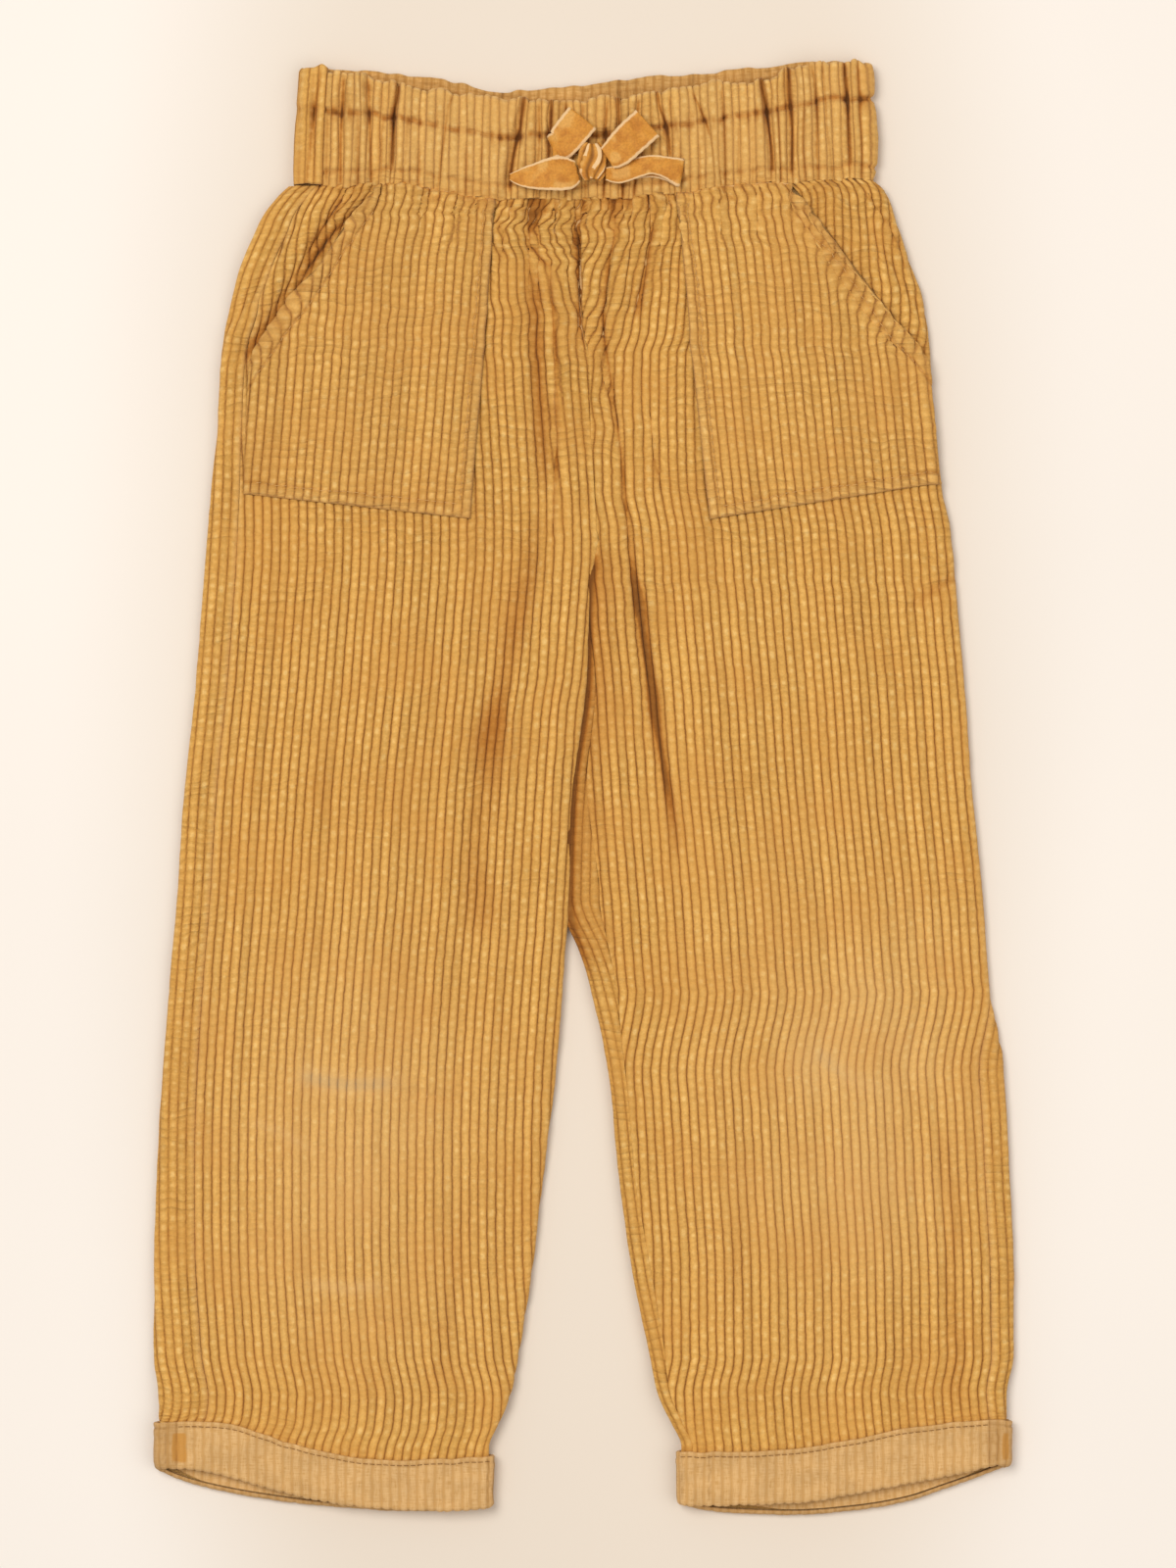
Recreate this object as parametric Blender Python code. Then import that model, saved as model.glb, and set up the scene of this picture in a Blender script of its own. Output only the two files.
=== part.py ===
"""Child's wide-wale corduroy trousers, laid flat with the front up.

Millimetres in the tables, metres in the scene. +X is to the viewer's right, +Y towards the
waist and +Z up. The back panels lie on Z = 0. Left and right are the viewer's.

Every tube of cloth (the waistband, each leg and each cuff) is a flattened loop: a top run and
a bottom run that roll into each other at the edges. The pieces are cut from the loops at the
seams, so the back panels wrap round the edge to the seams that show on the front.
"""

import math
from collections import namedtuple

import bmesh
import bpy
import numpy as np
from mathutils import Vector

MM = 0.001

# ---- driving sizes, mm ----
WALE_PITCH = 4.07  # one cord of the corduroy, about six to the inch
WALE_RISE = 0.9  # pile above the ground cloth
GROUND = 1.1  # ground cloth with its crushed pile roots
BACK_WALL = 1.6  # back panel where it lies on its own pile, pressed flat
SEAM_GAP = 0.3
EDGE_ROLL = 4.0  # how far in from a rolled edge the cloth reaches its full height
LEAST_TOP = 3.4  # a front panel never sinks lower than this onto the back panel
CROWDED = 0.8  # columns closer than this carry no cord
SLIT_CLEAR = 0.22  # half of the gap at a seam that lies on a rolled edge

# ---- waistband: a casing for flat elastic, with a standing frill above it ----
CASING_THICK = 4.2
FRILL_THICK = 3.4
STITCHED_THICK = 2.6
BAND_TOP_Z = 6.7  # middle of the front band's thickness
BAND_BOTTOM_Z = 2.1  # middle of the back band's thickness
BAND_ROLL = 3.0
BAND_EDGE_THIN = 0.55  # the casing's inner half thins by this share where it rolls
BAND_CLEAR = 0.4  # half of the gap at its seams
BAND_SEAM_IN = 13.0  # the left side seam of the band shows this far in from its edge
BAND_LEFT = -128.9  # the loop's own line, half a thickness inside the outline
BAND_RIGHT = 129.4
BAND_FLARE = 2.6  # the casing is wider than the frill at each side by this
BACK_BAND_STATIONS = 49
BAND_PILE = 0.7  # the band's cords stand this share as high as the legs'
BACK_BAND_WAVE = 0.35  # gathers of the back band's inside
FRILL_WAVE = 0.45  # gathers along the frill's edge
FRILL_WAVELENGTH = 21.0

# ---- turn-ups ----
CUFF_WALL = 1.9
CUFF_TOP_Z = 10.7
HEM_FOLD = 5.0  # the stitched double hem at the turn-up's upper edge
LEG_IN_CUFF_BOTTOM = 2.6  # back leg panel, on top of the turn-up's lower layer
CUFF_START = -280.0  # the leg panels' rows follow the turn-up from here down
CUFF_SEAM_IN = 14.0
CUFF_FOLD_LOW = 3.2  # up to this height the turn-up's fold is the back's
CUFF_FOLD_HIGH = 7.0  # and from here the front's
CUFF_CLEAR = 0.35  # half of the gap at its seams, which lie on a rolled edge
LIFT_START = -258.0  # here the back panel starts to rise onto the turn-up's lower layer

# ---- patch pockets ----
POCKET_GAP = 0.6
POCKET_GROUND = 1.2
POCKET_RISE = 0.8

# ---- ribbon bow ----
RIBBON_WIDTH = 16.0
RIBBON_THICK = 0.9

# Columns of a back panel, from the side seam round the edges to the inner leg seam.
Columns = namedtuple("Columns", "flap roll flat inner_roll inner_flap")
LEFT_BACK_COLUMNS = Columns(flap=8, roll=2, flat=3, inner_roll=2, inner_flap=2)
RIGHT_BACK_COLUMNS = Columns(flap=6, roll=2, flat=3, inner_roll=2, inner_flap=6)
WALES_PER_INSIDE_STEP = 2  # the plain inside has one column for two wales

# Each leg, a row for each section. y: height. outer: x of the outline. flap: how far in from
# the outline the side seam shows. inner: x of the centre seam, then of the inner leg.
# inner_flap: how far in the inner leg seam shows. top: height of the front's ground cloth.
# inner_top: the same beside the inner leg.
Leg = namedtuple("Leg", "y outer flap inner inner_flap top inner_top")
LEFT_LEG = [
    Leg(276.0, -135.2, 15.0, -1.6, 0.0, 6.6, 6.6),
    Leg(272.0, -139.7, 15.0, -1.5, 0.0, 6.5, 6.5),
    Leg(263.0, -146.9, 15.5, -1.3, 0.0, 6.4, 6.4),
    Leg(254.0, -151.4, 16.5, -1.1, 0.0, 6.3, 6.4),
    Leg(245.0, -155.5, 16.5, -0.9, 0.0, 6.2, 6.3),
    Leg(236.0, -158.6, 16.0, -0.8, 0.0, 6.1, 6.4),
    Leg(227.0, -160.9, 15.5, -0.7, 0.0, 5.9, 6.3),
    Leg(213.5, -163.8, 14.5, 0.4, 0.0, 5.7, 6.2),
    Leg(191.0, -167.2, 12.5, 2.5, 0.0, 5.4, 6.1),
    Leg(164.0, -168.5, 12.5, 3.2, 0.0, 5.3, 6.1),
    Leg(137.0, -170.8, 14.0, 4.7, 0.0, 5.3, 6.3),
    Leg(118.0, -172.4, 14.5, 5.6, 0.0, 5.2, 6.4),
    Leg(92.0, -174.5, 15.0, 1.8, 0.0, 5.2, 6.6),
    Leg(70.0, -176.2, 15.0, 0.7, 0.0, 5.2, 6.7),
    Leg(47.0, -178.0, 15.0, 0.0, 0.0, 5.1, 6.7),
    Leg(2.0, -182.9, 15.5, -6.0, 0.0, 5.0, 6.6),
    Leg(-22.0, -184.9, 15.8, -7.4, 0.0, 5.0, 6.4),
    Leg(-50.0, -186.8, 16.0, -7.9, 0.0, 5.0, 6.2),
    Leg(-88.0, -190.1, 16.2, -10.1, 0.0, 5.0, 5.6),
    Leg(-133.0, -193.7, 16.8, -13.7, 0.0, 5.0, 5.2),
    Leg(-178.0, -195.8, 18.0, -19.1, 0.0, 5.0, 5.0),
    Leg(-223.0, -197.3, 20.0, -24.5, 0.0, 5.0, 5.0),
    Leg(-259.0, -197.1, 22.5, -30.4, 0.0, 5.6, 5.6),
    Leg(-277.0, -195.1, 23.5, -33.9, 0.0, 7.1, 7.1),
    Leg(-290.0, -194.5, 22.0, -39.5, 0.0, 7.6, 7.6),
    Leg(-298.0, -194.5, 19.0, -43.6, 0.0, 7.6, 7.6),
    Leg(-335.0, -194.5, 14.0, -43.6, 0.0, 7.6, 7.6),
]
RIGHT_LEG = [
    Leg(276.0, 133.0, 0.0, -1.6, 0.0, 6.6, 6.6),
    Leg(272.0, 137.9, 0.0, -1.5, 0.0, 6.5, 6.5),
    Leg(263.0, 141.5, 0.0, -1.3, 0.0, 6.4, 6.4),
    Leg(254.0, 144.7, 0.0, -1.1, 0.0, 6.3, 6.4),
    Leg(245.0, 147.8, 0.0, -0.9, 0.0, 6.2, 6.3),
    Leg(236.0, 151.0, 0.0, -0.8, 0.0, 6.1, 6.4),
    Leg(227.0, 154.6, 0.0, -0.7, 0.0, 5.9, 6.3),
    Leg(213.5, 157.3, 0.0, 0.4, 0.0, 5.7, 6.1),
    Leg(191.0, 159.1, 0.0, 2.5, 0.0, 5.4, 5.9),
    Leg(164.0, 161.3, 0.0, 3.2, 0.0, 5.3, 5.9),
    Leg(137.0, 164.0, 0.0, 4.7, 0.0, 5.3, 6.0),
    Leg(118.0, 168.2, 0.0, 5.6, 0.0, 5.2, 5.8),
    Leg(92.0, 170.9, 0.0, 1.8, 0.0, 5.2, 4.6),
    Leg(70.0, 172.7, 0.0, 0.7, 4.0, 5.2, 4.2),
    Leg(47.0, 174.8, 0.0, 0.0, 7.0, 5.1, 4.1),
    Leg(2.0, 178.0, 0.0, -6.0, 9.0, 5.0, 4.1),
    Leg(-22.0, 180.4, 0.0, -7.4, 13.0, 5.0, 4.1),
    Leg(-50.0, 183.2, 0.0, -7.9, 17.0, 5.0, 4.2),
    Leg(-88.0, 186.0, 0.0, 2.5, 13.0, 5.0, 4.8),
    Leg(-133.0, 193.0, 12.5, 11.9, 8.5, 5.0, 5.0),
    Leg(-178.0, 195.5, 12.5, 16.4, 8.2, 5.0, 5.0),
    Leg(-223.0, 197.1, 11.5, 22.7, 9.5, 5.0, 5.0),
    Leg(-259.0, 196.9, 11.0, 30.4, 8.0, 5.6, 5.6),
    Leg(-277.0, 193.7, 10.0, 34.0, 6.5, 7.1, 7.1),
    Leg(-290.0, 193.6, 9.0, 40.8, 6.0, 7.6, 7.6),
    Leg(-298.0, 193.6, 8.0, 44.9, 6.0, 7.6, 7.6),
    Leg(-335.0, 193.6, 6.0, 44.9, 6.0, 7.6, 7.6),
]
OPEN_UNTIL = 118.0  # above this the left and right fronts are joined by the centre seam
CLOSED_FROM = 92.0  # below this each leg is a tube of its own
INNER_TOP_REACH = 26.0  # inner_top blends into top over this distance
CALM_ABOVE_CUFF = 12.0  # the folds fade out over this distance above the turn-up
BAND_PULL = 45.0  # rows this close to the waistband bend to follow its seam

# Rows of the leg panels above the turn-up, the shares of the way down inside it, and the
# heights whose sections those last rows take.
LEG_ROWS = [
    276.0, 264.0, 249.0, 232.0, 208.0, 164.0, 118.0, 92.0, 55.0, 0.0, -52.0, -72.0,
    -130.0, -200.0, -262.0, -280.0,
]  # fmt: skip
CUFF_SHARES = [0.5, 1.0]
CUFF_SECTIONS = [-308.0, -318.0]

# The waistband, a row for each place along it: the front frill's edge, the back frill's edge,
# the stitching under the frill and the seam to the legs.
Band = namedtuple("Band", "x front back stitch seam")
WAISTBAND = [
    Band(-136.0, 330.5, 330.5, 311.0, 276.0),
    Band(-113.0, 328.7, 330.2, 309.8, 276.5),
    Band(-86.6, 322.9, 327.4, 307.0, 277.6),
    Band(-60.0, 319.0, 324.2, 302.2, 273.2),
    Band(-35.8, 315.4, 319.6, 298.0, 270.2),
    Band(-6.0, 315.4, 322.0, 299.0, 270.4),
    Band(24.5, 317.5, 326.0, 301.0, 271.8),
    Band(48.4, 321.8, 327.2, 304.0, 274.0),
    Band(79.9, 324.9, 330.7, 309.0, 277.6),
    Band(99.2, 331.2, 332.9, 313.4, 278.0),
    Band(119.0, 332.9, 333.2, 315.7, 279.2),
    Band(136.0, 332.3, 332.3, 315.9, 278.0),
]

# Each turn-up, a row for each place along it: its upper edge, and where the front and the
# back turn round at the bottom.
Cuff = namedtuple("Cuff", "x top front_fold back_fold")
LEFT_CUFF = [
    Cuff(-196.9, -290.5, -310.3, -310.3),
    Cuff(-191.0, -289.6, -311.2, -314.6),
    Cuff(-180.0, -289.1, -311.4, -318.8),
    Cuff(-163.0, -290.5, -314.8, -322.9),
    Cuff(-145.0, -295.9, -320.0, -326.0),
    Cuff(-126.0, -301.7, -324.7, -328.5),
    Cuff(-105.0, -305.8, -328.3, -330.2),
    Cuff(-84.0, -307.1, -330.0, -331.4),
    Cuff(-62.0, -306.4, -330.5, -331.4),
    Cuff(-46.0, -305.3, -329.4, -329.8),
    Cuff(-41.2, -305.3, -327.4, -327.4),
]
RIGHT_CUFF = [
    Cuff(42.5, -303.5, -326.5, -326.5),
    Cuff(49.0, -303.4, -328.2, -329.8),
    Cuff(68.0, -303.1, -327.9, -332.3),
    Cuff(97.0, -301.7, -326.9, -333.2),
    Cuff(122.0, -297.7, -322.9, -331.4),
    Cuff(146.5, -292.7, -318.4, -327.4),
    Cuff(165.0, -290.3, -314.8, -321.4),
    Cuff(180.0, -288.7, -311.6, -316.1),
    Cuff(190.0, -288.2, -309.8, -312.2),
    Cuff(196.0, -289.6, -309.8, -309.8),
]

# Folds of the front, a row for each straight stretch: from and to, half its width, and its
# height, where a trough is negative.
Fold = namedtuple("Fold", "x0 y0 x1 y1 half_width height")
FOLDS = [
    Fold(-36.2, 261.0, -30.4, 173.0, 6.5, 1.3),  # ridge beside the left pocket
    Fold(-28.1, 257.0, -14.2, 150.0, 7.5, -1.9),  # deep trough left of the centre seam
    Fold(-13.3, 245.0, -9.0, 128.0, 6.0, 1.5),
    Fold(-4.3, 262.0, -0.7, 209.0, 4.0, -1.7),  # slit at the centre seam
    Fold(4.7, 262.0, 3.8, 213.0, 4.5, 1.6),
    Fold(16.0, 265.0, 8.8, 213.0, 4.0, -1.9),
    Fold(8.8, 213.0, 15.5, 168.0, 4.0, -1.5),
    Fold(22.3, 265.0, 15.6, 227.0, 5.0, 1.4),
    Fold(15.6, 222.0, 22.3, 168.0, 6.0, 1.5),
    Fold(22.3, 165.0, 27.8, 108.0, 7.0, 1.0),
    Fold(32.6, 263.0, 25.4, 222.0, 4.0, -1.5),
    Fold(17.4, 164.0, 25.3, 86.0, 5.5, -1.4),  # long trough down the right leg
    Fold(26.3, 84.0, 32.6, 38.0, 6.0, -1.7),
    Fold(32.6, 36.0, 42.5, -24.0, 7.0, -1.3),
    Fold(-22.7, 112.0, -43.0, 22.0, 12.0, -1.5),  # soft trough down the left leg
    Fold(-43.0, 20.0, -49.0, -52.0, 12.0, -1.2),
    Fold(-12.0, 104.0, -24.0, 36.0, 8.0, 1.1),
    Fold(-24.0, 34.0, -28.0, -50.0, 9.0, 1.4),
    Fold(-97.0, 268.0, -131.0, 213.0, 5.0, -1.5),  # inside the left pocket's mouth
    Fold(-108.0, 266.0, -141.0, 214.0, 6.0, 1.8),
    Fold(112.0, 267.0, 147.0, 213.0, 7.0, 1.2),  # outside the right pocket's mouth
    Fold(126.0, 262.0, 154.0, 207.0, 5.0, -1.0),
    Fold(-120.0, -139.0, -60.0, -145.0, 5.0, -0.6),  # creases across the left knee
    Fold(-128.0, -240.0, -76.0, -246.0, 6.0, -0.6),
    Fold(112.0, -118.0, 96.0, -196.0, 16.0, 0.8),  # the right knee stands up a little
    Fold(-88.0, -150.0, -92.0, -230.0, 22.0, 0.8),
    Fold(166.0, -170.0, 171.0, -272.0, 8.0, -1.1),
    Fold(-55.0, -190.0, -66.0, -270.0, 8.0, -0.8),
]
FOLD_SKIRT = 1.6  # a fold dies away over this many times its half width
FOLD_END = 0.5  # and past its ends over half of that again
GATHER_WAVE = 12.5  # wavelength of the gathers under the waistband
SMALL_GATHER = 0.6  # a second, smaller wave among them, in size and wavelength
GATHER_DEPTH = 0.55
GATHER_REACH = 16.0

# Pleats and slits of the front waistband, a row for each: x at the frill and at the seam.
Pleat = namedtuple("Pleat", "x_top x_seam half_width height")
PLEATS = [
    Pleat(-119.5, -122.5, 3.2, -1.2),
    Pleat(-106.0, -101.0, 4.5, 0.9),
    Pleat(-98.5, -100.0, 3.0, -1.3),
    Pleat(-85.7, -88.0, 3.0, -2.2),
    Pleat(-66.0, -66.0, 17.0, 1.3),
    Pleat(-44.0, -42.0, 15.0, 1.1),
    Pleat(-29.5, -31.5, 3.5, -2.2),
    Pleat(-20.0, -21.0, 7.0, -1.2),
    Pleat(-13.0, -11.0, 3.0, 0.8),
    Pleat(-2.0, 1.0, 3.0, -1.1),
    Pleat(9.0, 10.0, 4.0, 0.7),
    Pleat(21.5, 20.0, 3.0, -1.5),
    Pleat(34.5, 36.0, 3.2, -1.8),
    Pleat(52.0, 53.0, 14.0, 1.2),
    Pleat(72.0, 72.0, 12.0, 1.1),
    Pleat(86.0, 88.0, 3.0, -2.1),
    Pleat(93.0, 95.0, 3.5, 0.9),
    Pleat(99.5, 103.0, 3.0, -1.5),
    Pleat(110.0, 111.5, 5.0, 0.8),
    Pleat(118.5, 121.0, 3.0, -1.2),
]

# The pockets: the mouth's lower end at the side seam, its upper end at the waistband, the
# inner edge's two ends, and the bottom at the side seam.
Pocket = namedtuple(
    "Pocket", "mouth_y mouth_top_x inner_top_x inner_top_y inner_x inner_y bottom_y"
)
LEFT_POCKET = Pocket(194.5, -93.5, -40.0, 268.5, -52.0, 123.5, 134.6)
RIGHT_POCKET = Pocket(196.0, 92.7, 42.0, 272.0, 57.1, 123.2, 139.0)
POCKET_WALES = 27
POCKET_ROWS = 7
POCKET_SEAM_CLEAR = 2.4  # between the pocket's outer edge and the side seam
MOUTH_BOW = 1.1  # the mouth sags a little from a straight line


def smooth_curve(rows, key, value):
    """A smooth function through one column of a table, with no overshoot between its rows."""
    points = sorted((getattr(row, key), getattr(row, value)) for row in rows)
    xs = np.array([p[0] for p in points])
    ys = np.array([p[1] for p in points])
    slope = np.diff(ys) / np.diff(xs)
    tangent = np.zeros(len(xs))
    same_way = slope[:-1] * slope[1:] > 0
    both = np.where(same_way, slope[:-1] + slope[1:], 1.0)
    tangent[1:-1] = np.where(same_way, 2 * slope[:-1] * slope[1:] / both, 0.0)
    tangent[0], tangent[-1] = slope[0], slope[-1]

    def curve(x):
        x = np.clip(np.asarray(x, float), xs[0], xs[-1])
        i = np.clip(np.searchsorted(xs, x, side="right") - 1, 0, len(xs) - 2)
        step = xs[i + 1] - xs[i]
        t = (x - xs[i]) / step
        return (
            ys[i] * (1 + 2 * t) * (1 - t) ** 2
            + step * tangent[i] * t * (1 - t) ** 2
            + ys[i + 1] * t * t * (3 - 2 * t)
            + step * tangent[i + 1] * t * t * (t - 1)
        )

    return curve


def smooth_step(t):
    """0 to 1 with level ends."""
    t = np.clip(t, 0.0, 1.0)
    return t * t * (3 - 2 * t)


def edge_share(distance, radius):
    """The share of its full height that cloth has reached this far in from a rolled edge."""
    reach = np.clip(distance / radius, 0.0, 1.0)
    return np.sqrt(1.0 - (1.0 - reach) ** 2)


def folds_at(x, y):
    """Height of the soft folds and gathers of the front at a place."""
    total = np.zeros(np.broadcast(x, y).shape)
    for fold in FOLDS:
        along = np.array([fold.x1 - fold.x0, fold.y1 - fold.y0])
        length = np.hypot(*along)
        along = along / length
        run = (x - fold.x0) * along[0] + (y - fold.y0) * along[1]
        away = -(x - fold.x0) * along[1] + (y - fold.y0) * along[0]
        past_end = np.maximum(np.maximum(-run, run - length), 0.0)
        reach = np.hypot(away, FOLD_END * past_end) / fold.half_width
        total += fold.height * smooth_step(1.0 - reach / FOLD_SKIRT)
    below_band = np.maximum(band_seam(x) - y, 0.0)
    gathers = np.sin(2 * math.pi * x / GATHER_WAVE)
    gathers += SMALL_GATHER * np.sin(2 * math.pi * x / (SMALL_GATHER * GATHER_WAVE) + 1.0)
    return total + GATHER_DEPTH * gathers * np.exp(-below_band / GATHER_REACH)


band_front = smooth_curve(WAISTBAND, "x", "front")
band_back = smooth_curve(WAISTBAND, "x", "back")
band_stitch = smooth_curve(WAISTBAND, "x", "stitch")
band_seam = smooth_curve(WAISTBAND, "x", "seam")


def back_band_seam(x):
    """The seam between the back band and the back panels is straight."""
    left, right = WAISTBAND[0], WAISTBAND[-1]
    return left.seam + (x - left.x) / (right.x - left.x) * (right.seam - left.seam)


class Path:
    """A line of cloth seen end on, in (in, z): in is the distance in from the outer edge.
    Its outward normals point away from the middle of the tube."""

    def __init__(self, points, normals):
        self.points = points
        self.normals = normals
        steps = np.hypot(*np.diff(points, axis=0).T)
        self.arc = np.concatenate([[0.0], np.cumsum(steps)])
        self.length = self.arc[-1]

    def at(self, arcs):
        point = np.stack([np.interp(arcs, self.arc, self.points[:, k]) for k in (0, 1)], 1)
        normal = np.stack([np.interp(arcs, self.arc, self.normals[:, k]) for k in (0, 1)], 1)
        return point, normal / np.linalg.norm(normal, axis=1)[:, None]

    def cut(self, start, end):
        """The stretch between two arc lengths, which runs backwards where end is less."""
        low, high = min(start, end), max(start, end)
        inside = self.arc[(self.arc > low + 1e-6) & (self.arc < high - 1e-6)]
        arcs = np.concatenate([[low], inside, [high]])
        if end < start:
            arcs = arcs[::-1]
        return self.at(arcs)


def joined(*stretches):
    """One path from several cut stretches, end to end."""
    points = np.concatenate([s[0] for s in stretches])
    normals = np.concatenate([s[1] for s in stretches])
    keep = np.concatenate([[True], np.hypot(*np.diff(points, axis=0).T) > 1e-6])
    return Path(points[keep], normals[keep])


def runs(width, top, bottom, outer_roll, inner_roll, radius, count=240):
    """The top run and the bottom run of a flattened loop, both from the outer edge inwards.
    top and bottom give the height at a distance in. A roll of 1 closes the loop at that
    edge, and 0 leaves its two layers lying open."""
    share = (1 - np.cos(np.linspace(0, math.pi, count))) / 2
    inward = width * share
    high, low = top(inward), bottom(inward)
    middle = (high + low) / 2
    closing = (1 - outer_roll + outer_roll * edge_share(inward, radius)) * (
        1 - inner_roll + inner_roll * edge_share(width - inward, radius)
    )
    made = []
    for height, outward in ((high, 1.0), (low, -1.0)):
        points = np.stack([inward, middle + (height - middle) * closing], 1)
        tangent = np.gradient(points, axis=0)
        normals = outward * np.stack([-tangent[:, 1], tangent[:, 0]], 1)
        made.append(Path(points, normals / np.linalg.norm(normals, axis=1)[:, None]))
    return made


class LegTube:
    """One leg with its half of the seat: gives the front and back panels' paths at a height."""

    def __init__(self, rows, cuff_rows, direction):
        self.direction = direction  # +1 where x grows inwards from the outer edge
        self.columns = {name: smooth_curve(rows, "y", name) for name in Leg._fields[1:]}
        self.cuff_top = smooth_curve(cuff_rows, "x", "top")
        self.front_fold = smooth_curve(cuff_rows, "x", "front_fold")
        self.back_fold = smooth_curve(cuff_rows, "x", "back_fold")
        self.sections = {}

    def cuff_fold(self, x, z):
        """How high the turn-up's fold lies: the front's above, the back's below."""
        share = smooth_step((z - CUFF_FOLD_LOW) / (CUFF_FOLD_HIGH - CUFF_FOLD_LOW))
        return share * self.front_fold(x) + (1 - share) * self.back_fold(x)

    def section(self, y):
        """(outer x of the ground cloth, front path, back path) at this height."""
        y = round(float(y), 3)
        if y in self.sections:
            return self.sections[y]
        at = {name: float(curve(y)) for name, curve in self.columns.items()}
        closed = float(smooth_step((OPEN_UNTIL - y) / (OPEN_UNTIL - CLOSED_FROM)))
        outer = at["outer"] + self.direction * WALE_RISE
        inner = at["inner"] - self.direction * (SLIT_CLEAR + WALE_RISE * closed)
        width = abs(inner - outer)
        lift = LEG_IN_CUFF_BOTTOM * float(smooth_step((LIFT_START - y) / (LIFT_START - CUFF_START)))

        def top(inward):
            x = outer + self.direction * inward
            beside_inner = smooth_step(1.0 - (width - inward) / INNER_TOP_REACH)
            height = at["top"] + (at["inner_top"] - at["top"]) * beside_inner
            calm = float(smooth_step((y - CUFF_START) / CALM_ABOVE_CUFF))
            return np.maximum(height + calm * folds_at(x, y), LEAST_TOP)

        def bottom(inward):
            return np.full(len(inward), lift)

        over, under = runs(width, top, bottom, 1.0, closed, EDGE_ROLL)
        seam = at["flap"] if at["flap"] > SLIT_CLEAR else 0.0
        inner_seam = at["inner_flap"] * closed
        end = over.length - max(inner_seam, SLIT_CLEAR * closed)
        front = joined(over.cut(seam + SLIT_CLEAR, end))
        parts = [over.cut(seam - SLIT_CLEAR, 0.0)] if seam > SLIT_CLEAR else []
        under_start = 0.0 if parts else SLIT_CLEAR
        if inner_seam > 2 * SLIT_CLEAR:
            parts.append(under.cut(under_start, under.length))
            parts.append(over.cut(over.length, end + SEAM_GAP))
        else:
            parts.append(under.cut(under_start, under.length - SLIT_CLEAR * closed))
        back = joined(*parts)
        # Where the back's path turns round the edges, as distances along it.
        flap_end = max(seam - SLIT_CLEAR, 1.0)
        back_end = back.length - max(inner_seam, 1.5)
        self.sections[y] = (outer, front, back, flap_end, back_end)
        return self.sections[y]

    def place(self, outer, point, y):
        """Points of a path, as x, y, z in the garment."""
        return np.stack([outer + self.direction * point[:, 0], y, point[:, 1]], 1)

    def row_y(self, row, x, z, seam):
        """How high each point of a row lies: level rows, bent to the seam and the fold."""
        if row < len(LEG_ROWS):
            y = LEG_ROWS[row]
            near_band = smooth_step(1.0 - (LEG_ROWS[0] - y) / BAND_PULL)
            return y + near_band * (seam(x) - SEAM_GAP - LEG_ROWS[0])
        share = CUFF_SHARES[row - len(LEG_ROWS)]
        last = self.cuff_fold(x, z) + CUFF_WALL + 3 * SEAM_GAP
        return CUFF_START + share * (last - CUFF_START)


ROW_COUNT = len(LEG_ROWS) + len(CUFF_SHARES)


def section_y(row):
    """The height at which a row's section is taken."""
    return (LEG_ROWS + CUFF_SECTIONS)[row]


def wale_rise(count, spacing, rise=WALE_RISE):
    """How far each column stands out: ground and crest in turn, plain where crowded."""
    crest = np.arange(count) % 2 == 1
    return np.where(crest, rise * smooth_step((spacing - CROWDED) / CROWDED), 0.0)


def front_grid(leg, wales):
    """The ground cloth's points and the outward normals of a front panel, [row][column]."""
    columns = 2 * wales + 1
    points = np.zeros((ROW_COUNT, columns, 3))
    normals = np.zeros((ROW_COUNT, columns, 3))
    for row in range(ROW_COUNT):
        start, path, _, _, _ = leg.section(section_y(row))
        point, normal = path.at(np.linspace(0.0, path.length, columns))
        x = start + leg.direction * point[:, 0]
        points[row] = leg.place(start, point, leg.row_y(row, x, point[:, 1], band_seam))
        normals[row, :, 0] = leg.direction * normal[:, 0]
        normals[row, :, 2] = normal[:, 1]
    return points, normals


def front_panel(grid):
    """Outer and inner points of a front panel, [row][column]."""
    points, normals = grid
    spacing = np.linalg.norm(np.diff(points, axis=1), axis=2).mean(axis=1)
    rise = np.stack([wale_rise(points.shape[1], gap) for gap in spacing])
    outer = points + rise[:, :, None] * normals
    inner = points - GROUND * normals
    return outer, inner[:, :: 2 * WALES_PER_INSIDE_STEP]


def back_panel(leg, columns):
    """Outer and inner points of a back panel. Its pile shows only on the flap."""
    outer_points, inner_points = [], []
    for row in range(ROW_COUNT):
        start, _, path, flap_end, back_end = leg.section(section_y(row))
        stops = [0.0, flap_end, flap_end + EDGE_ROLL + 1.0]
        stops += [back_end - EDGE_ROLL - 1.0, back_end, path.length]
        arcs = [np.array([0.0])]
        for count, low, high in zip(columns, stops, stops[1:]):
            arcs.append(np.linspace(low, high, count + 1)[1:])
        arcs = np.concatenate(arcs)
        point, normal = path.at(arcs)
        x = start + leg.direction * point[:, 0]
        y = leg.row_y(row, x, point[:, 1], back_band_seam)
        rise = np.zeros(len(arcs))
        rise[: columns.flap + 1] = wale_rise(columns.flap + 1, flap_end / columns.flap)
        spacing = (path.length - back_end) / columns.inner_flap
        rise[-columns.inner_flap - 1 :] = wale_rise(columns.inner_flap + 1, spacing)
        wall = np.interp(
            arcs,
            [0.0, flap_end, stops[2], stops[3], back_end, path.length],
            [GROUND, GROUND, BACK_WALL, BACK_WALL, GROUND, GROUND],
        )
        outer_points.append(leg.place(start, point + rise[:, None] * normal, y))
        inner_points.append(leg.place(start, point - wall[:, None] * normal, y))
    return outer_points, inner_points


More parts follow.
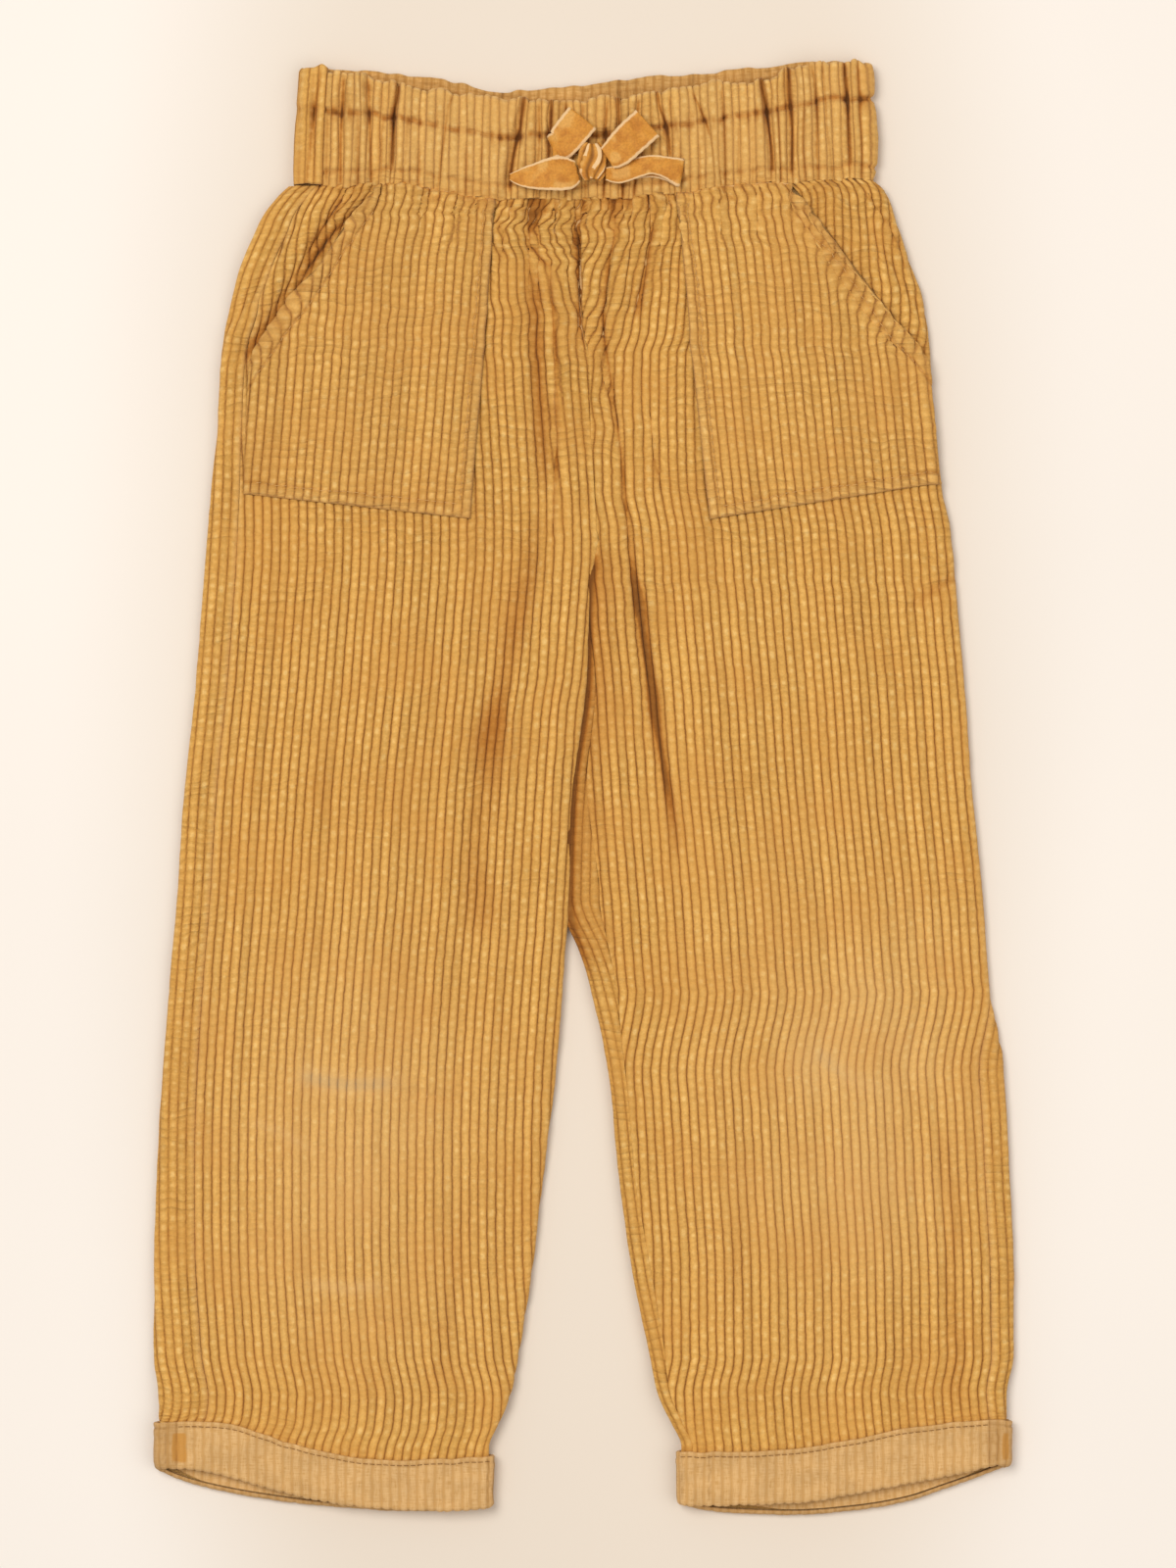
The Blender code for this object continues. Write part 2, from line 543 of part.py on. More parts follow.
def on_panel(grid, share, y):
    """The point and normal of a front panel's faceted ground at a share of its width."""
    points, normals = grid
    column = share * (points.shape[1] - 1)
    k = min(int(column), points.shape[1] - 2)
    t = column - k
    line = (1 - t) * points[:, k] + t * points[:, k + 1]
    lean = (1 - t) * normals[:, k] + t * normals[:, k + 1]
    point = np.array([np.interp(-y, -line[:, 1], line[:, axis]) for axis in range(3)])
    normal = np.array([np.interp(-y, -line[:, 1], lean[:, axis]) for axis in range(3)])
    return point, normal / np.linalg.norm(normal)


def pocket_panel(grid, pocket):
    """Outer and inner points of a patch pocket: the front panel's own points, moved out.
    Its columns run along the wales and are cut off by the slanted mouth."""
    columns = 2 * POCKET_WALES + 1
    outer = np.zeros((POCKET_ROWS, columns, 3))
    inner = np.zeros((POCKET_ROWS, columns, 3))
    middle_row = grid[0][LEG_ROWS.index(164.0)]
    first = POCKET_SEAM_CLEAR / np.linalg.norm(middle_row[-1] - middle_row[0])
    mouth_x, _, _ = on_panel(grid, first, pocket.mouth_y)[0]
    shares = []  # of the panel's width, at the pocket's inner edge: top and bottom
    for x, y in ((pocket.inner_top_x, pocket.inner_top_y), (pocket.inner_x, pocket.inner_y)):
        across = np.linspace(0.0, 1.0, 201)
        xs = np.array([on_panel(grid, share, y)[0][0] for share in across])
        order = np.argsort(xs)
        shares.append(np.interp(x, xs[order], across[order]))
    for j, part in enumerate(np.linspace(0.0, 1.0, columns)):

        def share_at(y):
            up = (y - pocket.inner_y) / (pocket.inner_top_y - pocket.inner_y)
            edge = shares[1] + up * (shares[0] - shares[1])
            return first + part * (edge - first)

        top_y = pocket.mouth_y
        for _ in range(20):
            x = on_panel(grid, share_at(top_y), top_y)[0][0]
            rise = np.clip((x - mouth_x) / (pocket.mouth_top_x - mouth_x), 0.0, 1.0)
            mouth = pocket.mouth_y + rise**MOUTH_BOW * (band_seam(x) - pocket.mouth_y)
            top_y = 0.5 * top_y + 0.5 * min(mouth, float(band_seam(x)) - 3 * SEAM_GAP)
        low_y = pocket.bottom_y + part * (pocket.inner_y - pocket.bottom_y)
        for i, down in enumerate(np.linspace(0.0, 1.0, POCKET_ROWS)):
            y = top_y + down * (low_y - top_y)
            point, normal = on_panel(grid, share_at(y), y)
            clear = WALE_RISE + POCKET_GAP
            pile = POCKET_RISE if j % 2 == 1 else 0.0
            outer[i, j] = point + (clear + POCKET_GROUND + pile) * normal
            inner[i, j] = point + clear * normal
    return outer, inner[:, ::2]


def pleats_at(x, share_down):
    """Height of the front band's pleats; share_down is 0 at the frill and 1 at the seam."""
    total = np.zeros(np.shape(x))
    for pleat in PLEATS:
        middle = pleat.x_top + share_down * (pleat.x_seam - pleat.x_top)
        reach = np.abs(x - middle) / pleat.half_width
        total = total + pleat.height * smooth_step(1.0 - reach / FOLD_SKIRT)
    return total


# Rings of the band: how far down from the frill's edge (0 frill, 1 stitching, 2 seam), and how
# far out from the middle of the cloth, as a share of that stretch's half thickness.
BandRing = namedtuple("BandRing", "down out thick")
BAND_RINGS = [
    BandRing(0.00, 0.0, FRILL_THICK),
    BandRing(0.10, 0.9, FRILL_THICK),
    BandRing(1.00, 1.0, STITCHED_THICK),
    BandRing(1.25, 1.0, CASING_THICK),
    BandRing(1.80, 1.0, CASING_THICK),
    BandRing(2.00, 1.0, STITCHED_THICK),
    BandRing(2.00, -1.0, STITCHED_THICK),
    BandRing(1.50, -1.0, CASING_THICK),
    BandRing(1.00, -1.0, STITCHED_THICK),
]


def band_rings(front):
    """Closed rings of the front or back band, one for each place along it."""
    width = BAND_RIGHT - BAND_LEFT

    def level(z):
        return lambda inward: np.full(len(inward), z)

    over, under = runs(width, level(BAND_TOP_Z), level(BAND_BOTTOM_Z), 1.0, 1.0, BAND_ROLL)
    if front:
        path = joined(over.cut(BAND_SEAM_IN + SLIT_CLEAR, over.length - BAND_CLEAR))
        stations = 2 * round(path.length / WALE_PITCH) + 1
        frill_edge, seam_line = band_front, band_seam
    else:
        path = joined(
            over.cut(BAND_SEAM_IN - SLIT_CLEAR, 0.0),
            under.cut(0.0, under.length - BAND_CLEAR),
        )
        stations = BACK_BAND_STATIONS
        frill_edge, seam_line = band_back, back_band_seam
    arcs = np.linspace(0.0, path.length, stations)
    point, normal = path.at(arcs)
    x = BAND_LEFT + point[:, 0]
    crest = wale_rise(stations, arcs[1]) if front else np.zeros(stations)
    rings = []
    for i in range(stations):
        ring = []
        for spec in BAND_RINGS:
            edge, stitch, seam = frill_edge(x[i]), band_stitch(x[i]), seam_line(x[i])
            y = np.interp(spec.down, [0, 1, 2], [edge, stitch, seam + SEAM_GAP / 2])
            out = spec.out * spec.thick / 2
            if spec.out < 0:
                out *= 1.0 - BAND_EDGE_THIN * abs(normal[i, 0])
            facing_up = max(normal[i, 1], 0.0)
            if front and spec.out > 0:
                out += facing_up * float(pleats_at(x[i], spec.down / 2))
                out += BAND_PILE * crest[i]
            if not front and spec.out < 0:
                wave = math.sin(2 * math.pi * x[i] / GATHER_WAVE)
                out -= BACK_BAND_WAVE * wave * max(-normal[i, 1], 0.0)
            if spec.down == 0.0:
                out += FRILL_WAVE * math.sin(2 * math.pi * x[i] / FRILL_WAVELENGTH) * facing_up
            flare = 1.0 + BAND_FLARE * spec.down / width
            px = (x[i] + out * normal[i, 0]) * flare
            ring.append((px, y, point[i, 1] + out * normal[i, 1]))
        rings.append(ring)
    return rings


def cuff_profile(height):
    """The turn-up seen end on, as (up from the fold, in from its outer face): a J whose short
    end meets the leg panel. The upper edge is a stitched double fold."""
    turn = CUFF_WALL + SEAM_GAP / 2
    bend = turn * (1 - math.sqrt(0.5))
    return [
        (height, CUFF_WALL),
        (height, 0.0),
        (height - 0.8 * HEM_FOLD, 0.0),
        (height - HEM_FOLD, 0.45),
        (height - 1.3 * HEM_FOLD, 0.0),
        (1.3 * turn, 0.0),
        (bend, bend),
        (0.0, turn),
        (bend, 2 * turn - bend),
        (0.9 * turn, 2 * turn),
        (turn, turn + SEAM_GAP / 2),
        (turn - SEAM_GAP / 2, turn),
        (turn, turn - SEAM_GAP / 2),
    ]


def cuff_rings(leg, cuff_rows, front, stations):
    """Closed rings of one half of a turn-up, one for each place round the leg."""
    outer = cuff_rows[0].x if leg.direction > 0 else cuff_rows[-1].x
    inner = cuff_rows[-1].x if leg.direction > 0 else cuff_rows[0].x
    width = abs(inner - outer)

    def top(inward):
        return np.full(len(inward), CUFF_TOP_Z)

    def bottom(inward):
        return np.zeros(len(inward))

    over, under = runs(width, top, bottom, 1.0, 1.0, 1.3 * EDGE_ROLL)
    if front:
        path = joined(over.cut(CUFF_SEAM_IN + SLIT_CLEAR, over.length - CUFF_CLEAR))
    else:
        path = joined(
            over.cut(CUFF_SEAM_IN - SLIT_CLEAR, 0.0),
            under.cut(0.0, under.length - CUFF_CLEAR),
        )
    # Places crowd towards the rolled edges.
    even = np.linspace(0.0, 1.0, stations)
    arcs = path.length * (even - 0.09 * np.sin(2 * math.pi * even))
    point, normal = path.at(arcs)
    # The fold is taken where the short end of the J meets the leg panel.
    meet = point - 1.5 * (CUFF_WALL + SEAM_GAP / 2) * normal
    fold = leg.cuff_fold(outer + leg.direction * meet[:, 0], meet[:, 1])
    x = outer + leg.direction * point[:, 0]
    rings = []
    for i in range(stations):
        height = float(leg.cuff_top(x[i]) - fold[i])
        ring = []
        for up, depth in cuff_profile(height):
            px = x[i] - leg.direction * depth * normal[i, 0]
            ring.append((px, fold[i] + up, point[i, 1] - depth * normal[i, 1]))
        rings.append(ring)
    return rings


# ---- ribbon bow, sewn to the front of the waistband ----
BOW_Z = 10.0  # the height that the tables below are measured from
# Each piece of ribbon, a row for each place along its middle line: where it is, the direction
# of its width in degrees, and how much of its width shows.
Ribbon = namedtuple("Ribbon", "x y z turn narrow")
BOW_LOOP_LEFT = [  # out over the top, round the end and back underneath
    Ribbon(-3.0, 281.5, 4.6, 95.0, 0.66),
    Ribbon(-7.0, 280.5, 5.7, 95.0, 0.92),
    Ribbon(-14.0, 280.2, 5.6, 94.0, 0.95),
    Ribbon(-22.0, 279.2, 4.6, 94.0, 0.80),
    Ribbon(-29.0, 278.9, 3.4, 92.0, 0.64),
    Ribbon(-33.8, 279.2, 2.0, 90.0, 0.30),
    Ribbon(-29.5, 279.0, 1.1, 92.0, 0.58),
    Ribbon(-20.0, 279.8, 0.8, 94.0, 0.80),
    Ribbon(-8.0, 280.6, 0.8, 95.0, 0.80),
]
BOW_LOOP_RIGHT = [
    Ribbon(11.0, 280.2, 3.9, 80.0, 0.32),
    Ribbon(16.0, 280.4, 3.8, 74.0, 0.55),
    Ribbon(24.0, 283.2, 3.5, 76.0, 0.58),
    Ribbon(31.0, 284.6, 3.4, 86.0, 0.54),
    Ribbon(38.0, 283.3, 3.3, 88.0, 0.62),
    Ribbon(44.2, 281.2, 2.2, 88.0, 0.84),
    Ribbon(38.5, 282.8, 1.1, 88.0, 0.66),
    Ribbon(30.0, 283.6, 0.8, 84.0, 0.56),
    Ribbon(15.0, 281.0, 0.8, 74.0, 0.46),
]
BOW_TAIL_LEFT = [  # out from the knot, folded back over itself, to a cut end
    Ribbon(-3.0, 292.0, 0.9, 92.0, 0.30),
    Ribbon(-8.0, 292.0, 0.9, 95.0, 0.36),
    Ribbon(-12.6, 292.4, 1.5, 100.0, 0.60),
    Ribbon(-13.8, 293.0, 2.7, 114.0, 0.74),
    Ribbon(-10.6, 294.0, 3.7, 135.0, 0.92),
    Ribbon(-5.5, 300.0, 4.0, 139.0, 1.0),
    Ribbon(-0.6, 306.0, 3.6, 138.0, 1.0),
]
BOW_TAIL_RIGHT = [
    Ribbon(11.6, 288.0, 5.5, 103.0, 0.76),
    Ribbon(15.5, 290.6, 5.6, 116.0, 0.92),
    Ribbon(22.0, 297.0, 5.2, 129.0, 1.0),
    Ribbon(29.0, 303.4, 4.4, 133.0, 1.0),
]
KNOT = {"x": 3.8, "y": 286.0, "z": 3.5, "half": (6.0, 8.4, 3.4), "creases": 5}


def ribbon_rings(places):
    """Closed rings of a strip of ribbon, one for each place along it."""
    centres = np.array([(p.x, p.y, p.z + BOW_Z) for p in places])
    along = np.gradient(centres, axis=0)
    along /= np.linalg.norm(along, axis=1)[:, None]
    rings = []
    for place, centre, tangent in zip(places, centres, along):
        angle = math.radians(place.turn)
        across = np.array([math.cos(angle), math.sin(angle), 0.0])
        across -= tangent * across.dot(tangent)
        across /= np.linalg.norm(across)
        face = np.cross(tangent, across)
        half = RIBBON_WIDTH / 2 * place.narrow
        ring = []
        for side, out in ((-1, 0.5), (0, 0.72), (1, 0.5), (1, -0.5), (0, -0.28), (-1, -0.5)):
            ring.append(centre + side * half * across + out * RIBBON_THICK * face)
        rings.append(ring)
    return rings


# ---- making the objects ----
def strip_between(bm, a, b):
    """Triangles between two rows of vertices that may differ in number."""
    i = j = 0
    while i < len(a) - 1 or j < len(b) - 1:
        next_a = (i + 1) / (len(a) - 1) if i < len(a) - 1 else 2.0
        next_b = (j + 1) / (len(b) - 1) if j < len(b) - 1 else 2.0
        if next_a <= next_b:
            bm.faces.new((a[i], a[i + 1], b[j]))
            i += 1
        else:
            bm.faces.new((a[i], b[j + 1], b[j]))
            j += 1


def grid_faces(bm, grid):
    """Quads over a grid of vertices."""
    for upper, lower in zip(grid, grid[1:]):
        for k in range(len(upper) - 1):
            bm.faces.new((upper[k], upper[k + 1], lower[k + 1], lower[k]))


def add_object(name, bm, material, parent):
    """Closes the mesh's faces outwards and links it, with its origin under its middle."""
    bmesh.ops.recalc_face_normals(bm, faces=bm.faces)
    corners = np.array([v.co for v in bm.verts])
    low, high = corners.min(0), corners.max(0)
    origin = Vector(((low[0] + high[0]) / 2, (low[1] + high[1]) / 2, low[2]))
    bmesh.ops.translate(bm, verts=bm.verts, vec=-origin)
    mesh = bpy.data.meshes.new(name)
    bm.to_mesh(mesh)
    bm.free()
    mesh.shade_smooth()
    mesh.set_sharp_from_angle(angle=math.radians(50))
    mesh.materials.append(material)
    obj = bpy.data.objects.new(name, mesh)
    obj.location = origin
    obj.parent = parent
    bpy.context.scene.collection.objects.link(obj)
    return obj


def add_wall(name, outer, inner, material, parent):
    """A closed wall of cloth between its outer and inner points, [row][column]. The inside
    may have fewer columns."""
    bm = bmesh.new()
    out = [[bm.verts.new(Vector(p) * MM) for p in row] for row in outer]
    ins = [[bm.verts.new(Vector(p) * MM) for p in row] for row in inner]
    grid_faces(bm, out)
    grid_faces(bm, ins)
    strip_between(bm, out[0], ins[0])
    strip_between(bm, out[-1], ins[-1])
    for side in (0, -1):
        strip_between(bm, [row[side] for row in out], [row[side] for row in ins])
    return add_object(name, bm, material, parent)


def add_rings(name, rings, material, parent):
    """A closed solid through rings of equal count, capped at both ends."""
    bm = bmesh.new()
    made = [[bm.verts.new(Vector(p) * MM) for p in ring] for ring in rings]
    for near, far in zip(made, made[1:]):
        for k in range(len(near)):
            m = (k + 1) % len(near)
            bm.faces.new((near[k], near[m], far[m], far[k]))
    bm.faces.new(made[0])
    bm.faces.new(made[-1])
    bmesh.ops.triangulate(bm, faces=bm.faces)
    return add_object(name, bm, material, parent)


def add_knot(name, material, parent):
    """The bow's knot: a wrap of ribbon, an upright bead with creases down it."""
    bm = bmesh.new()
    bmesh.ops.create_uvsphere(bm, u_segments=20, v_segments=9, radius=1.0)
    for vert in bm.verts:
        angle = math.atan2(vert.co.z, vert.co.x)
        round_it = math.hypot(vert.co.x, vert.co.z)
        crease = 1.0 + 0.09 * round_it * math.cos(KNOT["creases"] * angle + 2.0 * vert.co.y)
        squared = 1.0 - 0.16 * vert.co.y**2
        vert.co.x *= KNOT["half"][0] * crease / squared
        vert.co.y *= KNOT["half"][1]
        vert.co.z *= KNOT["half"][2] * crease
        vert.co += Vector((KNOT["x"], KNOT["y"], KNOT["z"] + BOW_Z))
        vert.co *= MM
    return add_object(name, bm, material, parent)


def centre_on_floor(objects):
    """Moves everything so that the whole stands on Z = 0 with its middle over the origin."""
    corners = np.array([tuple(v.co + obj.location) for obj in objects for v in obj.data.vertices])
    low, high = corners.min(0), corners.max(0)
    shift = Vector((-(low[0] + high[0]) / 2, -(low[1] + high[1]) / 2, -low[2]))
    for obj in objects:
        obj.location += shift


def cloth_material(name, colour, roughness):
    material = bpy.data.materials.new(name)
    material.use_nodes = True
    shader = material.node_tree.nodes["Principled BSDF"]
    shader.inputs["Base Color"].default_value = (*colour, 1.0)
    shader.inputs["Roughness"].default_value = roughness
    shader.inputs["Metallic"].default_value = 0.0
    return material


def main():
    for obj in list(bpy.data.objects):
        bpy.data.objects.remove(obj)
    corduroy = cloth_material("corduroy", (0.60, 0.30, 0.075), 0.9)
    reverse = cloth_material("corduroy_reverse", (0.66, 0.39, 0.15), 0.95)
    velvet = cloth_material("velvet_ribbon", (0.52, 0.20, 0.03), 0.6)
    trousers = bpy.data.objects.new("trousers", None)
    bpy.context.scene.collection.objects.link(trousers)

    sides = {
        "left": (LegTube(LEFT_LEG, LEFT_CUFF, 1.0), LEFT_CUFF),
        "right": (LegTube(RIGHT_LEG, RIGHT_CUFF, -1.0), RIGHT_CUFF),
    }
    pockets = {"left": LEFT_POCKET, "right": RIGHT_POCKET}
    back_columns = {"left": LEFT_BACK_COLUMNS, "right": RIGHT_BACK_COLUMNS}
    for side, (leg, cuff_rows) in sides.items():
        _, path, _, _, _ = leg.section(-88.0)
        wales = 2 * round(path.length / WALE_PITCH / 2)
        grid = front_grid(leg, wales)
        add_wall(f"leg_front_{side}", *front_panel(grid), corduroy, trousers)
        add_wall(f"leg_back_{side}", *back_panel(leg, back_columns[side]), corduroy, trousers)
        add_wall(f"pocket_{side}", *pocket_panel(grid, pockets[side]), corduroy, trousers)
        for layer, stations in (("front", 13), ("back", 17)):
            rings = cuff_rings(leg, cuff_rows, layer == "front", stations)
            add_rings(f"cuff_{layer}_{side}", rings, reverse, trousers)

    add_rings("waistband_front", band_rings(True), corduroy, trousers)
    add_rings("waistband_back", band_rings(False), corduroy, trousers)
    add_rings("bow_loop_left", ribbon_rings(BOW_LOOP_LEFT), velvet, trousers)
    add_rings("bow_loop_right", ribbon_rings(BOW_LOOP_RIGHT), velvet, trousers)
    add_rings("bow_tail_left", ribbon_rings(BOW_TAIL_LEFT), velvet, trousers)
    add_rings("bow_tail_right", ribbon_rings(BOW_TAIL_RIGHT), velvet, trousers)
    add_knot("bow_knot", velvet, trousers)
    centre_on_floor(list(trousers.children))


main()
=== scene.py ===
import math
import bmesh
import bpy
import numpy as np
from mathutils import Matrix, Vector


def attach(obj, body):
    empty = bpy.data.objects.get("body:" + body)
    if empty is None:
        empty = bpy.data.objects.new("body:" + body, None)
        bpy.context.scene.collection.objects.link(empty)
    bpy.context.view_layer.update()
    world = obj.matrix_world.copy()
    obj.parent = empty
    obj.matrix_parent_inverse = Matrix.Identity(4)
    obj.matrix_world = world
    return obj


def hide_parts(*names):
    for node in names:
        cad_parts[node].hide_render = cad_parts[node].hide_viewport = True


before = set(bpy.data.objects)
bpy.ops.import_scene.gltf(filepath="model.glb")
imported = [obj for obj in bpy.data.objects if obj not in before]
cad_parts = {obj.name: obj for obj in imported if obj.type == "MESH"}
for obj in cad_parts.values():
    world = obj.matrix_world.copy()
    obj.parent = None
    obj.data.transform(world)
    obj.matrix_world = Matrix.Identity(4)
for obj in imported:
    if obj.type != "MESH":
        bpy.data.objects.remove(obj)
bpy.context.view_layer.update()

mm = 0.001
print("frame loaded")

# Child's corduroy trousers laid flat, front up. Tables are in millimetres: x to the viewer's
# right, y towards the waist, z up from the surface.
cloth = {
    "wale": 4.07,          # one cord, about six to the inch
    "rise": 1.1,           # pile above the ground cloth
    "rowStep": 1.95,       # distance between rows of points down the legs
    "columns": [0.0, 0.11, 0.28, 0.5, 0.72, 0.89],   # points across one cord
    "shiftX": 0.17,        # the solids stand centred over the origin
    "shiftY": -0.01,
    "edgeRoll": 4.0,       # radius of the legs' edges
    "gap": 0.3,            # between the solids at a seam
    "slit": 0.10,          # what is left of it here
    "seamLevel": 276.0,    # where the legs' rows of points begin, at the waist seam
    "crotch": 118.0,
    "closing": 26.0,       # over this length below the crotch the inner edges roll shut
    "ground": 0.7,         # thickness of the woven ground
}


# small helpers
def alongOf(y):
    # how far down the cloth from the waist seam, in cord widths
    return (cloth["seamLevel"] - y) / cloth["wale"]


def smooth(t):
    t = np.clip(t, 0.0, 1.0)
    return t * t * (3 - 2 * t)


def bell(distance, width):
    # soft hump: 1 in the middle, about a third at its width
    return np.exp(-((distance / width) ** 2))


def lineThrough(points):
    # smooth line through (x, y) points, without overshoot
    points = sorted(points)
    xs = np.array([p[0] for p in points], float)
    ys = np.array([p[1] for p in points], float)
    slope = np.diff(ys) / np.diff(xs)
    lean = np.zeros(len(xs))
    sameWay = slope[:-1] * slope[1:] > 0
    total = np.where(sameWay, slope[:-1] + slope[1:], 1.0)
    lean[1:-1] = np.where(sameWay, 2 * slope[:-1] * slope[1:] / total, 0.0)
    lean[0], lean[-1] = slope[0], slope[-1]

    def read(x):
        x = np.clip(np.asarray(x, float), xs[0], xs[-1])
        i = np.clip(np.searchsorted(xs, x, side="right") - 1, 0, len(xs) - 2)
        step = xs[i + 1] - xs[i]
        t = (x - xs[i]) / step
        return (ys[i] * (1 + 2 * t) * (1 - t) ** 2 + step * lean[i] * t * (1 - t) ** 2
                + ys[i + 1] * t * t * (3 - 2 * t) + step * lean[i + 1] * t * t * (t - 1))
    return read


def makeNoise(seed, size=61):
    # smooth random field from -1 to 1, the same on each run
    table = np.random.default_rng(seed).uniform(-1, 1, (size, size))

    def read(u, v):
        u, v = np.broadcast_arrays(np.asarray(u, float), np.asarray(v, float))
        i, j = np.floor(u).astype(int), np.floor(v).astype(int)
        a, b = smooth(u - i), smooth(v - j)
        i0, i1, j0, j1 = i % size, (i + 1) % size, j % size, (j + 1) % size
        low = table[i0, j0] * (1 - a) + table[i1, j0] * a
        high = table[i0, j1] * (1 - a) + table[i1, j1] * a
        return low * (1 - b) + high * b
    return read


noiseA, noiseB, noiseC, noiseD, noiseE = (makeNoise(seed) for seed in (11, 23, 37, 41, 59))


# sizes of the garment
# each leg from the waist down, at these y: its outline, the side seam in from it, the inner
# edge, the inner seam in from that, the height of the front's ground cloth, the same beside
# the inner leg, and how far outside the side seam the first cord runs (y, distance)
legYs = [276, 272, 263, 254, 245, 236, 227, 213.5, 191, 164, 137, 118, 92, 70, 47, 2, -22, -50, -88,
         -133, -178, -223, -259, -277, -290, -298, -335]
leftLeg = {
    "name": "left", "direction": 1.0,
    "outer": [-135.2, -139.7, -146.9, -151.4, -155.5, -158.6, -160.9, -163.8, -167.2, -168.5,
              -170.8, -172.4, -174.5, -176.2, -178, -182.9, -184.9, -186.8, -190.1, -193.7,
              -195.8, -197.3, -197.1, -195.1, -194.5, -194.5, -194.5],
    "flap": [15, 15, 15.5, 16.5, 16.5, 16, 15.5, 14.5, 12.5, 12.5, 14, 14.5, 15, 15, 15, 15.5,
             15.8, 16, 16.2, 16.8, 18, 20, 22.5, 23.5, 22, 19, 14],
    "inner": [-1.6, -1.5, -1.3, -1.1, -0.9, -0.8, -0.7, 0.4, 2.5, 3.2, 4.7, 5.6, 1.8, 0.7, 0, -6,
              -7.4, -7.9, -10.1, -13.7, -19.1, -24.5, -30.4, -33.9, -39.5, -43.6, -43.6],
    "innerFlap": [0] * len(legYs),
    "top": [6.6, 6.5, 6.4, 6.3, 6.2, 6.1, 5.9, 5.7, 5.4, 5.3, 5.3, 5.2, 5.2, 5.2, 5.1, 5, 5, 5,
            5, 5, 5, 5, 5.6, 7.1, 7.6, 7.6, 7.6],
    "innerTop": [6.6, 6.5, 6.4, 6.4, 6.3, 6.4, 6.3, 6.2, 6.1, 6.1, 6.3, 6.4, 6.6, 6.7, 6.7, 6.6,
                 6.4, 6.2, 5.6, 5.2, 5, 5, 5.6, 7.1, 7.6, 7.6, 7.6],
    "cut": [(-300, 0), (100, 0), (150, 3), (200, 8), (240, 13), (276, 20)],
}
rightLeg = {
    "name": "right", "direction": -1.0,
    "outer": [133, 137.9, 141.5, 144.7, 147.8, 151, 154.6, 157.3, 159.1, 161.3, 164, 168.2,
              170.9, 172.7, 174.8, 178, 180.4, 183.2, 186, 193, 195.5, 197.1, 196.9, 193.7,
              193.6, 193.6, 193.6],
    "flap": [0, 0, 0, 0, 0, 0, 0, 0, 0, 0, 0, 0, 0, 0, 0, 0, 0, 0, 0, 12.5, 12.5, 11.5, 11, 10,
             9, 8, 6],
    "inner": [-1.6, -1.5, -1.3, -1.1, -0.9, -0.8, -0.7, 0.4, 2.5, 3.2, 4.7, 5.6, 1.8, 0.7, 0, -6,
              -7.4, -7.9, 2.5, 11.9, 16.4, 22.7, 30.4, 34, 40.8, 44.9, 44.9],
    "innerFlap": [0, 0, 0, 0, 0, 0, 0, 0, 0, 0, 0, 0, 0, 4, 7, 9, 13, 17, 13, 8.5, 8.2, 9.5, 8,
                  6.5, 6, 6, 6],
    "top": [6.6, 6.5, 6.4, 6.3, 6.2, 6.1, 5.9, 5.7, 5.4, 5.3, 5.3, 5.2, 5.2, 5.2, 5.1, 5, 5, 5,
            5, 5, 5, 5, 5.6, 7.1, 7.6, 7.6, 7.6],
    "innerTop": [6.6, 6.5, 6.4, 6.4, 6.3, 6.4, 6.3, 6.1, 5.9, 5.9, 6, 5.8, 4.6, 4.2, 4.1, 4.1,
                 4.1, 4.2, 4.8, 5, 5, 5, 5.6, 7.1, 7.6, 7.6, 7.6],
    "cut": [(-300, 0), (100, 0), (150, 2), (200, 6), (240, 11), (276, 19)],
}
for leg in (leftLeg, rightLeg):
    for name in ("outer", "flap", "inner", "innerFlap", "top", "innerTop"):
        leg[name] = lineThrough(list(zip(legYs, leg[name])))
    leg["cutAt"] = lineThrough(leg["cut"])

# waistband: x, front frill's edge, back frill's edge, stitching, seam to the legs
waist = {
    "rows": [
        (-136, 330.5, 330.5, 311, 276), (-113, 328.7, 330.2, 309.8, 276.5),
        (-86.6, 322.9, 327.4, 307, 277.6), (-60, 319, 324.2, 302.2, 273.2),
        (-35.8, 315.4, 319.6, 298, 270.2), (-6, 315.4, 322, 299, 270.4),
        (24.5, 317.5, 326, 301, 271.8), (48.4, 321.8, 327.2, 304, 274),
        (79.9, 324.9, 330.7, 309, 277.6), (99.2, 331.2, 332.9, 313.4, 278),
        (119, 332.9, 333.2, 315.7, 279.2), (136, 332.3, 332.3, 315.9, 278)],
    "left": -128.9, "right": 129.4, "roll": 3.0, "seamIn": 13.0,
    "overZ": 6.7, "underZ": 2.1, "flare": 2.6, "frillTall": 19.0,
}
bandFront, bandBack, bandStitch, bandSeam = (
    lineThrough([(row[0], row[k]) for row in waist["rows"]]) for k in (1, 2, 3, 4))

